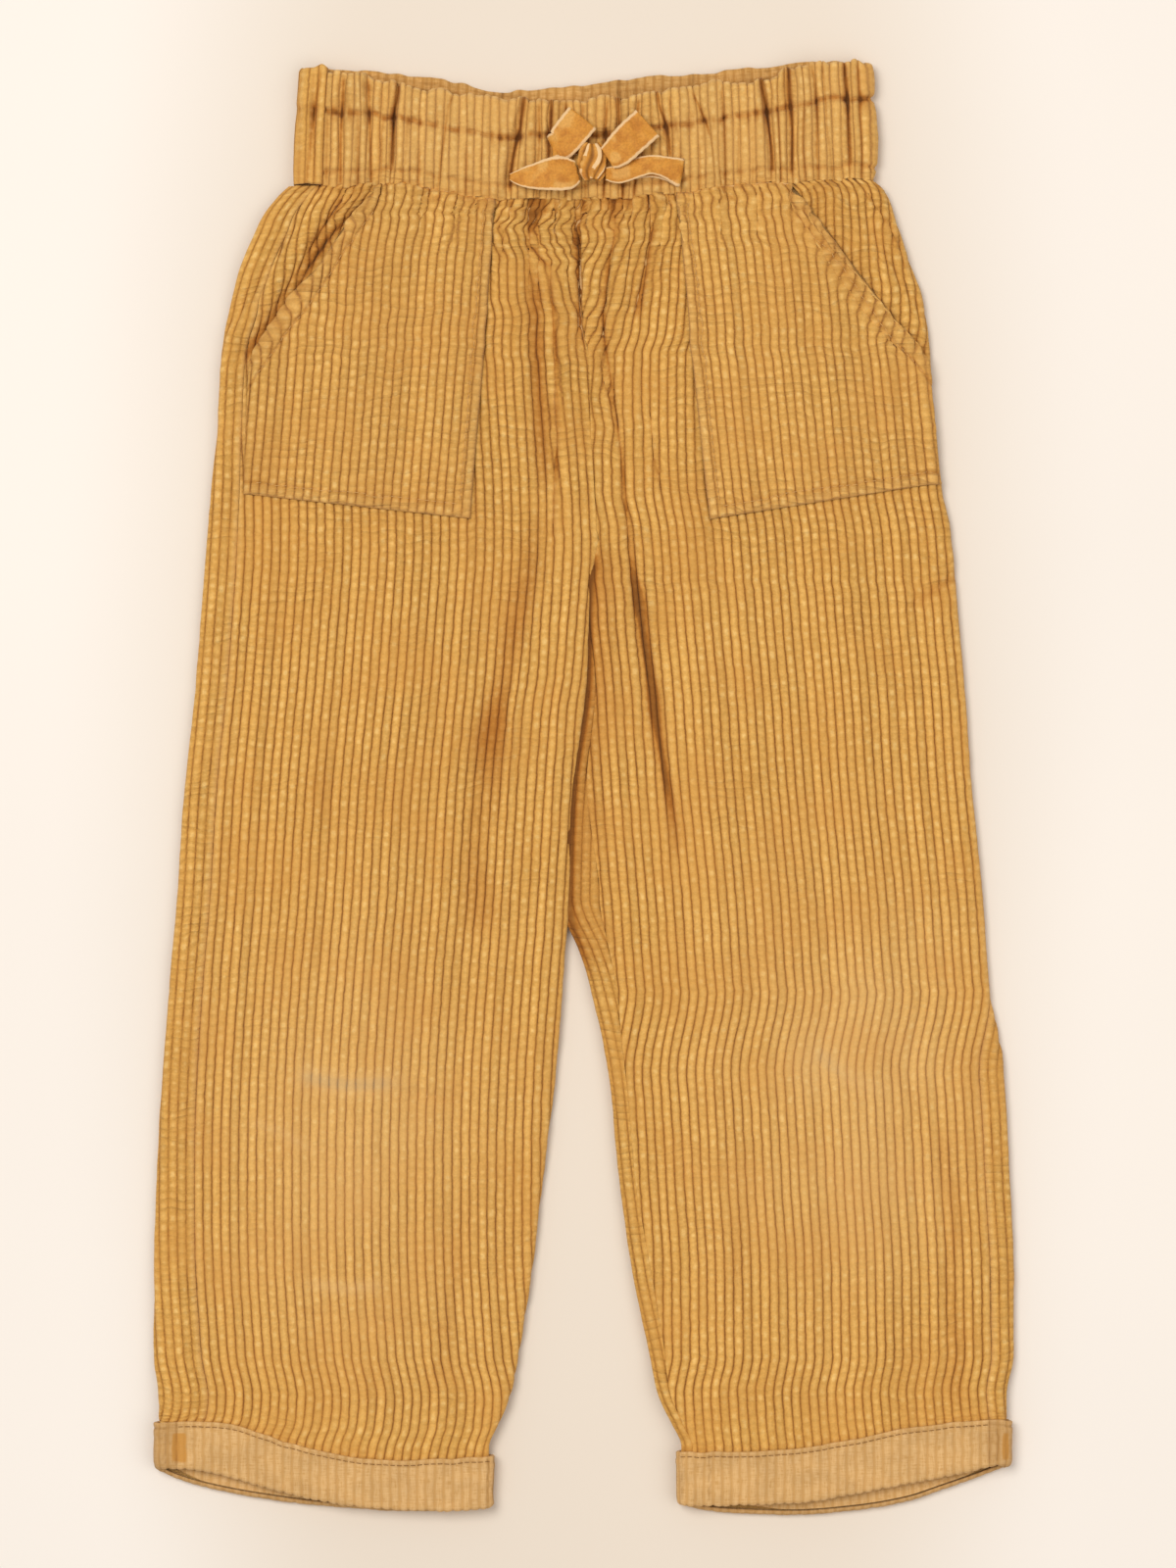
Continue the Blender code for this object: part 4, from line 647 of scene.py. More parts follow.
def makeCorduroy(name, look):
    material, add = startMaterial(name, 0.92, 0.15, "#FFE9C4")
    place = add("Attribute", {"attribute_name": "cloth"}, out="Vector")
    # lie is painted shade and shadow: troughs, slits, puckers, stitch grooves and low rolled edges
    worn, lie, pale = (add("Attribute", {"attribute_name": word}, out="Fac")
                       for word in ("worn", "lie", "pale"))
    cord, along, waffle = add("SeparateXYZ", inputs={0: place}).node.outputs
    here = add("TexCoord", out="Object")
    # each cord is pinched into soft beads, partly in step with its neighbours
    number = add("Math", {"operation": "FLOOR"}, {0: cord})
    own = add("TexWhiteNoise", {"noise_dimensions": "1D"}, {"W": number})
    beads = add("Math", times, {0: along, 1: look["beadsPerCord"]})
    wander = add("TexNoise", solid, {"Vector": place, "Scale": 0.24, "Detail": 1.0})
    ownPinch, rowPinch = (
        add("TexVoronoi", {"voronoi_dimensions": "1D", "feature": "DISTANCE_TO_EDGE"},
            {"W": add("Math", timesPlus, {0: moved, 1: far, 2: beads}), "Scale": 1.0,
             "Randomness": 0.6}) for moved, far in ((own, 37.0), (wander, 2.4)))
    ownLine = add("ValToRGB", None, {0: ownPinch}, [(0.0, 0.72), (0.08, 0.52), (0.3, 0.0)])
    rowLine = add("ValToRGB", None, {0: rowPinch}, [(0.0, 1.0), (0.07, 0.75), (0.26, 0.0)])
    patch = add("TexNoise", solid, {"Vector": place, "Scale": 0.12, "Detail": 1.0})
    patch = add("ValToRGB", None, {0: patch}, [(0.38, 0.0), (0.62, 0.7)])
    patch = add("Math", plusHeld, {0: patch, 1: waffle})
    rowLine = add("Math", times, {0: rowLine, 1: patch})
    pinch = add("Math", {"operation": "MAXIMUM"}, {0: ownLine, 1: rowLine})
    strength = add("Math", timesPlus, {0: waffle, 1: 0.55, 2: 0.5})
    pinch = add("Math", times, {0: pinch, 1: strength})
    calm = add("Math", timesPlus, {0: worn, 1: -0.4, 2: 1.0})
    pinch = add("Math", timesHeld, {0: pinch, 1: calm})
    # distance from the valley in cord widths: ragged, and wider where the cord is pinched
    ragged = add("TexNoise", solid, {"Vector": place, "Scale": 1.7, "Detail": 2.0})
    shifted = add("Math", timesPlus, {0: ragged, 1: 0.18, 2: cord})
    shifted = add("Math", less, {0: shifted, 1: 0.09})
    fromValley = add("Math", pingPong, {0: shifted, 1: 0.5})
    narrow = add("Math", timesPlus, {0: pinch, 1: -0.05, 2: fromValley})
    # across each cord: the bare ground's darker colour with painted shade in the valleys and on the
    # flanks, and a painted highlight along the crest
    body = add("ValToRGB", None, {0: narrow}, [
        (0.0, look["valley"]), (0.04, look["valley"]), (0.085, look["flank"]),
        (0.17, look["body"]), (0.5, look["crest"])])
    # streaks, painted shade in the pinches, painted highlights on the beads, each cord's own tone,
    # nap and dye
    streak = add("VectorMath", times, {0: place, 1: (0.9, 0.16, 1.0)})
    streak = add("TexNoise", solid,
                 {"Vector": streak, "Scale": 1.0, "Detail": 3.0, "Roughness": 0.6})
    streak = add("ValToRGB", None, {0: streak}, [(0.4, 0.0), (0.75, 0.5)])
    pinchShade = add("Math", timesHeld, {0: pinch, 1: 0.72})
    crown = add("ValToRGB", None, {0: fromValley}, [(0.16, 0.0), (0.4, 1.0)])
    bead = add("ValToRGB", None, {0: ownPinch}, [(0.16, 0.0), (0.42, 1.0)])
    some = add("TexNoise", solid, {"Vector": place, "Scale": 0.9, "Detail": 1.0})
    some = add("ValToRGB", None, {0: some}, [(0.42, 0.0), (0.7, 0.62)])
    # painted highlight in the middle of each bead, on the crest
    beadHighlight = add("Math", times, {0: crown, 1: bead})
    beadHighlight = add("Math", times, {0: beadHighlight, 1: some})
    tone = add("ValToRGB", None, {0: own}, [(0.0, 0.94), (1.0, 1.04)])
    nap = add("TexNoise", solid, {
        "Vector": here, "Scale": 0.5 / (look["napMm"] * mm), "Detail": 3.0, "Roughness": 0.65})
    grain = add("ValToRGB", None, {0: nap}, [(0.3, 0.90), (0.72, 1.09)])
    cloud = add("TexNoise", solid, {"Vector": here, "Scale": 30.0, "Detail": 4.0})
    cloud = add("ValToRGB", None, {0: cloud}, [(0.42, 0.0), (0.66, 0.35)])
    # wear, rubbed edges, painted shade in troughs, painted shadow in slits, and greyed creases
    fade = add("Math", timesHeld, {0: worn, 1: 0.32})
    rub = add("Math", timesHeld, {0: pale, 1: 0.6})
    shade = add("Math", timesHeld, {0: lie, 1: 0.9})
    slit = add("Math", lessHeld, {0: lie, 1: 1.0})
    crease = add("Math", lessHeld, {0: worn, 1: 1.4})
    low = add("ValToRGB", None, {0: narrow}, [(0.0, 0.9), (0.2, 0.25)])
    crease = add("Math", times, {0: crease, 1: low})
    for how, much, colour in (
            (blend, streak, look["flank"]), (blend, pinchShade, look["flank"]),
            (blend, beadHighlight, look["beadHighlight"]), (darken, 1.0, tone), (darken, 1.0, grain),
            (blend, cloud, look["deep"]), (blend, fade, look["worn"]),
            (blend, rub, look["rubbed"]), (darken, shade, look["shade"]),
            (blend, slit, look["slit"]), (blend, crease, look["grey"])):
        body = add("Mix", how, {0: much, 6: body, 7: colour}, out=2)
    # relief: the beads, and the nap
    height = add("Math", times, {0: pinch, 1: -1.0})
    height = add("Math", timesPlus, {0: nap, 1: 0.3, 2: height})
    if look["pressed"]:
        full = add("ValToRGB", None, {0: fromValley}, [(0.0, 0.0), (0.12, 0.6), (0.5, 1.0)])
        height = add("Math", timesPlus, {0: full, 1: 1.6, 2: height})
    relief = add("Bump", None, {"Strength": 0.9, "Distance": 0.0006, "Height": height})
    return endMaterial(material, body, relief)


# The corduroy's smooth woven reverse: a flat twill-like ground, paler than the pile, with the
# cords showing through as faint ribs and a dry, slightly hairy face.
# its stitch colour is painted shade: in the turn-ups' stitch grooves, along their seam lines and over
# the back turn-up
reverseLook = {"base": "#D4AA71", "light": "#DAB27B", "dark": "#C6995D", "pile": "#C68D42",
               "stitch": "#8A5E2B", "threadMm": 0.75}


def makeReverse(name, look):
    material, add = startMaterial(name, 0.95, 0.12, "#FFF0DC")
    place = add("Attribute", {"attribute_name": "cloth"}, out="Vector")
    pile, lie = (add("Attribute", {"attribute_name": word}, out="Fac") for word in ("pale", "lie"))
    cord = add("SeparateXYZ", inputs={0: place})
    rib = add("Math", pingPong, {0: cord, 1: 0.5})
    here = add("TexCoord", out="Object")
    # threads are drawn about twice their real width, or they would not show
    perThread = cloth["wale"] / look["threadMm"]
    woven = []
    for scale in ((perThread, 0.8, 1.0), (0.8, perThread, 1.0)):
        run = add("VectorMath", times, {0: place, 1: scale})
        woven.append(add("TexNoise", solid, {"Vector": run, "Scale": 1.0, "Detail": 2.0}))
    weave = add("Math", plus, {0: woven[0], 1: woven[1]})
    weave = add("Math", times, {0: weave, 1: 0.5})
    body = add("ValToRGB", None, {0: weave}, [
        (0.36, look["dark"]), (0.5, look["base"]), (0.64, look["light"])])
    valley = add("ValToRGB", None, {0: rib}, [(0.0, 0.95), (0.3, 0.0)])
    blotch = add("TexNoise", solid, {"Vector": here, "Scale": 90.0, "Detail": 3.0})
    tone = add("ValToRGB", None, {0: blotch}, [(0.3, 0.91), (0.7, 1.05)])
    # places where the pile side folds into view, with a ragged edge
    ragged = add("Math", timesPlus, {0: blotch, 1: 0.8, 2: pile})
    ragged = add("ValToRGB", None, {0: ragged}, [(0.62, 0.0), (1.15, 0.9)])
    # painted shade, mixed in the stitch colour
    shade = add("Math", timesHeld, {0: lie, 1: 0.8})
    for how, much, colour in (
            (blend, valley, look["dark"]), (darken, 1.0, tone), (blend, ragged, look["pile"]),
            (blend, shade, look["stitch"])):
        body = add("Mix", how, {0: much, 6: body, 7: colour}, out=2)
    full = add("ValToRGB", None, {0: rib}, [(0.0, 0.0), (0.35, 1.0)])
    height = add("Math", plus, {0: full, 1: weave})
    relief = add("Bump", None, {"Strength": 0.7, "Distance": 0.0003, "Height": height})
    return endMaterial(material, body, relief)


# Rayon velvet ribbon: short dense upright pile that darkens face on and shines at a slant,
# crushed in places, between narrow pale woven edges. The crushed places are pale patches of
# painted highlight, and the knot's creases hold painted shade.
velvetLook = {"deep": "#B9772A", "base": "#CD8C36", "crushed": "#DAA75A", "edge": "#E9C594",
              "gap": "#6F4214"}


def makeVelvet(name, look):
    material, add = startMaterial(name, 0.6, 0.7, "#FFD58F", 0.3)
    edge, crushed, lie = (add("Attribute", {"attribute_name": word}, out="Fac")
                          for word in ("pale", "worn", "lie"))
    here = add("TexCoord", out="Object")
    brushed = add("TexNoise", solid,
                  {"Vector": here, "Scale": 170.0, "Detail": 3.0, "Roughness": 0.6})
    body = add("ValToRGB", None, {0: brushed}, [(0.32, look["deep"]), (0.62, look["base"])])
    ragged = add("Math", timesPlus, {0: brushed, 1: 0.9, 2: crushed})
    ragged = add("ValToRGB", None, {0: ragged}, [(0.5, 0.0), (1.4, 0.6)])
    fuzz = add("TexNoise", solid, {"Vector": here, "Scale": 1100.0, "Detail": 2.0})
    tone = add("ValToRGB", None, {0: fuzz}, [(0.3, 0.9), (0.7, 1.08)])
    hem = add("Math", timesPlus, {0: fuzz, 1: 0.3, 2: edge})
    hem = add("ValToRGB", None, {0: hem}, [(0.55, 0.0), (0.85, 0.9)])
    # painted shade in the knot's creases, mixed in the gap colour
    shade = add("Math", timesHeld, {0: lie, 1: 0.75})
    for how, much, colour in (
            (blend, ragged, look["crushed"]), (darken, 1.0, tone), (blend, hem, look["edge"]),
            (blend, shade, look["gap"])):
        body = add("Mix", how, {0: much, 6: body, 7: colour}, out=2)
    height = add("Math", plus, {0: fuzz, 1: brushed})
    relief = add("Bump", None, {"Strength": 0.5, "Distance": 0.0003, "Height": height})
    return endMaterial(material, body, relief)


# Spun polyester sewing thread with a fine twist: a dull fibrous shine.
def makeThread(name, colour):
    material, add = startMaterial(name, 0.7, 0.15)
    here = add("TexCoord", out="Object")
    twist = add("TexNoise", solid, {"Vector": here, "Scale": 1500.0, "Detail": 2.0})
    tone = add("ValToRGB", None, {0: twist}, [(0.3, 0.8), (0.7, 1.1)])
    body = add("Mix", darken, {0: 1.0, 6: colour, 7: tone}, out=2)
    relief = add("Bump", None, {"Strength": 0.4, "Distance": 0.0001, "Height": twist})
    return endMaterial(material, body, relief)


corduroy = makeCorduroy("washed wide-wale cotton corduroy", corduroyLook)
pressedCorduroy = makeCorduroy("corduroy lying on its pile", {**corduroyLook, "pressed": True})
reverseCloth = makeReverse("woven reverse of corduroy", reverseLook)
# the waist's inside is a darker copy of the reverse: painted shade
shadedFacingCloth = makeReverse("woven reverse, inside the waist, in painted shade", {
    **reverseLook, "base": "#CB9B5A", "light": "#D6A868", "dark": "#B58344"})
velvet = makeVelvet("rayon velvet ribbon", velvetLook)
paleThread = makeThread("spun polyester thread, pale", "#D3A460")
darkThread = makeThread("spun polyester thread, dark", "#8C5F2A")
print("materials made")


# front leg panels; the right one is shaded beside the left one's edge, by y
lapShade = lineThrough([(-90.0, 0.0), (-70.0, 0.5), (-20.0, 0.75), (60.0, 0.8), (100.0, 0.7),
                        (114.0, 0.0), (120.0, 0.0)])


def lapDark(leg, part, x):
    # the right leg runs under the left leg's edge and is shaded there
    if leg["direction"] > 0 or part["closed"] <= 0:
        return np.zeros(len(x))
    beside = x - part["lapAt"]
    return lapShade(part["y"]) * (1.2 * bell(beside, 2.4) + 0.6 * bell(beside, 12.0))


def placeRow(leg, row, point, normal, out, seam):
    # one row of points on a leg's section, moved outwards
    x = leg["sections"][row]["outer"] + leg["direction"] * point[:, 0]
    ys = rowY(leg, row, x, point[:, 1], seam)
    made = np.stack([x + leg["direction"] * out * normal[:, 0], ys,
                     point[:, 1] + out * normal[:, 1]], 1)
    return x, ys, made


def someOf(count, step):
    # every so many, and the last
    return list(range(0, count - 1, step)) + [count - 1]


def frontPanel(leg):
    longest = max(part["end"] - part["seam"] for part in leg["sections"])
    cords = cordPlaces(int(longest / cloth["wale"]) + 8)
    columns = len(cords) + 1
    outer, spread = np.zeros((2, rowCount, columns, 3))
    worn, lie, pale = np.zeros((3, rowCount, columns))
    innerRows, inner = someOf(rowCount, 4), []
    for row, part in enumerate(leg["sections"]):
        y = part["y"]
        crowd = 1.0 - 0.10 * float(smooth((y - 205.0) / 70.0))
        pitch = cloth["wale"] * crowd
        start, end = part["seam"] + (-0.4 if part["seam"] > 0 else 0.05), part["end"]
        along, cut = alongOf(y), float(leg["cutAt"](y))
        cord = np.concatenate([cords, [cords[-1] + 0.11]])
        arc = start - cut + (cord + sway(cord, along)) * pitch
        arc = np.clip(arc, start, end)
        # the cord is read back from where each point ended up, so that cut cords end cleanly
        inside = (arc > start + 1e-6) & (arc < end - 1e-6)
        cord = np.where(inside, cord, (arc - start + cut) / pitch)
        point, normal = pathAt(part["over"], arc)
        x = part["outer"] + leg["direction"] * point[:, 0]
        z = point[:, 1]
        ys = rowY(leg, row, x, z, bandSeam)
        fromSeam, fromInner = arc - start, end - arc
        fold = foldHeight(x, y)
        rise = cloth["rise"] * cordHeight(cord, along)
        rise = rise * (1.0 - 0.15 * wearAt(x, ys)) * (1.0 - 0.35 * smooth((-283.0 - y) / 8.0))
        seamDeep = 0.35 if part["seam"] > 0 else 0.0
        innerDeep = float(smooth((y - 205.0) / 30.0)) + 0.8 * part["closed"]
        tuck = seamDeep * bell(fromSeam, 1.1) + 0.8 * innerDeep * bell(fromInner, 1.1)
        ridge = 0.6 * (1.0 - min(innerDeep, 1.0)) * bell(fromInner, 2.4)
        out = rise - (tuck - ridge)
        # wrinkles close up into narrow slits between full rounds
        pull = np.clip(0.8 * foldSlope(x, y), -1.3, 1.3)
        pull = pull * smooth(fromSeam / 4.0) * smooth(fromInner / 4.0) * smooth((y + 275.0) / 30.0)
        x = x - pull
        outer[row, :, 0] = x + leg["direction"] * out * normal[:, 0]
        outer[row, :, 1] = ys
        outer[row, :, 2] = z + out * normal[:, 1]
        spread[row, :, 0] = cord + firstCord["front"][leg["name"]]
        spread[row, :, 1] = along
        spread[row, :, 2] = waffleAt(x, ys)
        worn[row] = wearAt(x, ys) + 1.6 * readMap(greyMap, x, y)
        # painted shade: in the slits and puckers, beside the left leg's edge, in deep troughs and low
        # on the rolled edges
        dark = np.maximum(readMap(shadowMap, x, y), lapDark(leg, part, x))
        lie[row] = (np.clip(-0.52 * fold - 0.3, 0, 0.95) + 0.3 * (1 - np.clip(z / 5.0, 0, 1))
                    + 1.5 * dark)
        pale[row] = 0.15 * bell(fromSeam, 1.8)
        if row in innerRows:
            point, normal = pathAt(part["over"], np.linspace(start, end, int(longest / 6.0)))
            inner.append(placeRow(leg, row, point, normal, -cloth["ground"], bandSeam)[2])
    facts = {"cloth": spread, "worn": worn, "lie": lie, "pale": pale}
    return clothShell(f"leg_front_{leg['name']}_cloth", outer, np.array(inner), facts,
                      [corduroy, reverseCloth])


# back leg panels: flat below, rolled round the edges to the seams
def backReach(part):
    # where the flap on the front ends, and where the underside begins and ends
    flapEnd = max(part["seam"] - cloth["slit"], 0.0)
    last = part["under"]["arc"][-1]
    if part["innerFlap"] <= 0.5:
        last -= cloth["slit"] * part["closed"]
    return flapEnd, 0.0 if flapEnd > 0 else cloth["slit"], last


def backPanel(leg):
    flapFrom, innerFrom = 40, 140.3   # numbers of the cords on the two flaps
    flapCords, innerCords = cordPlaces(7), cordPlaces(6)
    widest = max(part["under"]["arc"][-1] for part in leg["sections"])
    underCords = np.arange(0.0, widest / cloth["wale"] + 1.0, 0.5)
    columns = len(flapCords) + len(underCords) + len(innerCords)
    outer, spread = np.zeros((2, rowCount, columns, 3))
    worn, lie, pale = np.zeros((3, rowCount, columns))
    innerRows, inner = someOf(rowCount, 5), []
    for row, part in enumerate(leg["sections"]):
        along = alongOf(part["y"])
        over, under, innerFlap = part["over"], part["under"], part["innerFlap"]
        flapEnd, first, last = backReach(part)
        # the flap on the front, from its seam out to the edge
        arc = flapEnd - (flapCords + sway(flapCords + 60, along)) * cloth["wale"]
        arc = np.clip(arc, 0.0, flapEnd)
        point, normal = pathAt(over, arc)
        fromSeam = flapEnd - arc
        cord = fromSeam / cloth["wale"] + flapFrom
        rise = cloth["rise"] * cordHeight(cord, along) * smooth(flapEnd / 5.0)
        rise = rise - 0.5 * bell(fromSeam, 1.0) * smooth(flapEnd / 5.0)
        strip = [(point, normal, rise, cord, bell(fromSeam, 1.8))]
        # round the edge the cords flatten towards the underside
        arc = np.clip(underCords * cloth["wale"], first, last)
        point, normal = pathAt(under, arc)
        cord = flapEnd / cloth["wale"] + arc / cloth["wale"] + flapFrom
        strip.append((point, normal, np.zeros(len(arc)), cord, np.zeros(len(arc))))
        # the flap at the inner leg; where there is none its points stay at the underside's end
        end = over["arc"][-1]
        low = max(end - innerFlap - cloth["slit"], 0.0)
        arc = np.clip(end - (innerCords + sway(innerCords + 90, along)) * cloth["wale"], low, end)
        point, normal = pathAt(over, arc)
        if innerFlap <= 0.5:
            arc[:] = end
            point, normal = pathAt(under, np.full(len(arc), last))
        cord = (end - arc) / cloth["wale"] + innerFrom
        rise = cloth["rise"] * cordHeight(cord, along) * smooth(innerFlap / 4.0)
        rise = rise * smooth((end - arc) / 1.5)
        rise = rise - 0.7 * bell(arc - low, 1.1) * smooth(innerFlap / 4.0)
        strip.append((point, normal, rise, cord, np.zeros(len(arc))))
        point, normal, rise, cord, atSeam = (np.concatenate(column) for column in zip(*strip))
        x, ys, outer[row] = placeRow(leg, row, point, normal, rise, backSeam)
        spread[row, :, 0] = cord + firstCord["back"][leg["name"]]
        spread[row, :, 1] = along
        spread[row, :, 2] = 0.6
        worn[row] = 0.4 * wearAt(x, ys)
        # painted shade low on the rolled edges and beside the left leg's edge
        lie[row] = (0.25 * (1 - np.clip(point[:, 1] / 5.0, 0, 1))
                    + 1.5 * lapDark(leg, part, x) * smooth((point[:, 1] - 1.5) / 1.5))
        pale[row] = 0.3 * atSeam
        if row in innerRows:
            # the plain inside
            flapArc = np.linspace(flapEnd, 0.0, 9)
            innerArc = np.linspace(end, end - innerFlap - cloth["slit"], 7)
            stretches = [
                pathAt(over, flapArc) if flapEnd > 0 else pathAt(under, np.full(9, first)),
                pathAt(under, np.linspace(first, last, 40)),
                pathAt(over, innerArc) if innerFlap > 0.5 else pathAt(under, np.full(7, last))]
            point, normal = (np.concatenate(column) for column in zip(*stretches))
            wall = 0.8 + 0.5 * np.clip(-normal[:, 1], 0, 1)
            inner.append(placeRow(leg, row, point, normal, -wall, backSeam)[2])
    outer[:, :, 2] = np.maximum(outer[:, :, 2], 0.0)
    # faces on the underside carry the pressed finish
    slots = np.zeros((rowCount - 1, columns - 1), int)
    slots[:, len(flapCords):len(flapCords) + len(underCords) - 1] = 1
    facts = {"cloth": spread, "worn": worn, "lie": lie, "pale": pale}
    return clothShell(f"leg_back_{leg['name']}_cloth", outer, np.array(inner), facts,
                      [corduroy, pressedCorduroy, reverseCloth], slots.ravel())


threadLines = {}   # where topstitching runs, by piece

# patch pockets, laid over the front panels
pocket = {
    "arcStep": 0.75, "clear": 1.45, "ground": 1.1, "rise": 0.95, "rows": 96, "hem": 5.5,
    "mouthHem": 8.5, "mouthSlant": 0.66, "clearOfSeam": 1.4,
    "left": {"mouthY": 194.5, "mouthTopX": -93.5, "innerTop": (-40.0, 268.5),
             "innerLow": (-52.0, 123.5), "bottomY": 134.6},
    "right": {"mouthY": 196.0, "mouthTopX": 92.7, "innerTop": (42.0, 272.0),
              "innerLow": (57.1, 123.2), "bottomY": 139.0},
}


def frontSurface(leg):
    # the front's surface as a table, by y and by distance from the outer edge, and its reader
    picked = [s for s in leg["sections"] if 110.0 < s["y"] <= 276.5]
    arcs = np.arange(0.0, 190.0, pocket["arcStep"])
    table = np.zeros((len(picked), len(arcs), 4))
    for k, part in enumerate(picked):
        point, normal = pathAt(part["over"], arcs)
        table[k] = np.stack([part["outer"] + leg["direction"] * point[:, 0], point[:, 1],
                             leg["direction"] * normal[:, 0], normal[:, 1]], 1)

    def surface(arc, y):
        a = np.clip(arc / pocket["arcStep"], 0, len(arcs) - 1.001)
        b = np.clip((picked[0]["y"] - y) / cloth["rowStep"], 0, len(picked) - 1.001)
        i, j = b.astype(int), a.astype(int)
        u, v = (b - i)[..., None], (a - j)[..., None]
        return ((table[i, j] * (1 - u) + table[i + 1, j] * u) * (1 - v)
                + (table[i, j + 1] * (1 - u) + table[i + 1, j + 1] * u) * v)
    return picked, arcs, table, surface


def stitchingLines(outer, fromInner, fromSide, fromLow, fromMouth):
    # where the topstitching runs along a pocket's bottom, inner edge and mouth
    hemLine, innerSide, mouthLine = [], [], []
    rows, columns = outer.shape[:2]
    for column in range(columns):
        if fromSide[-10, column] > 2.0 and fromInner[-10, column] > pocket["hem"]:
            row = np.argmin(np.abs(fromLow[:, column] - pocket["hem"]))
            hemLine.append(outer[row, column])
        row = np.argmin(np.abs(fromMouth[:, column] - pocket["mouthHem"]))
        if abs(fromMouth[row, column] - pocket["mouthHem"]) < 1.4 and fromSide[row, column] > 2.0:
            mouthLine.append(outer[row, column])
    for row in range(4, rows - 6):
        column = np.argmin(np.abs(fromInner[row] - pocket["hem"]))
        innerSide.append(outer[row, column])
    return [hemLine, innerSide, mouthLine]


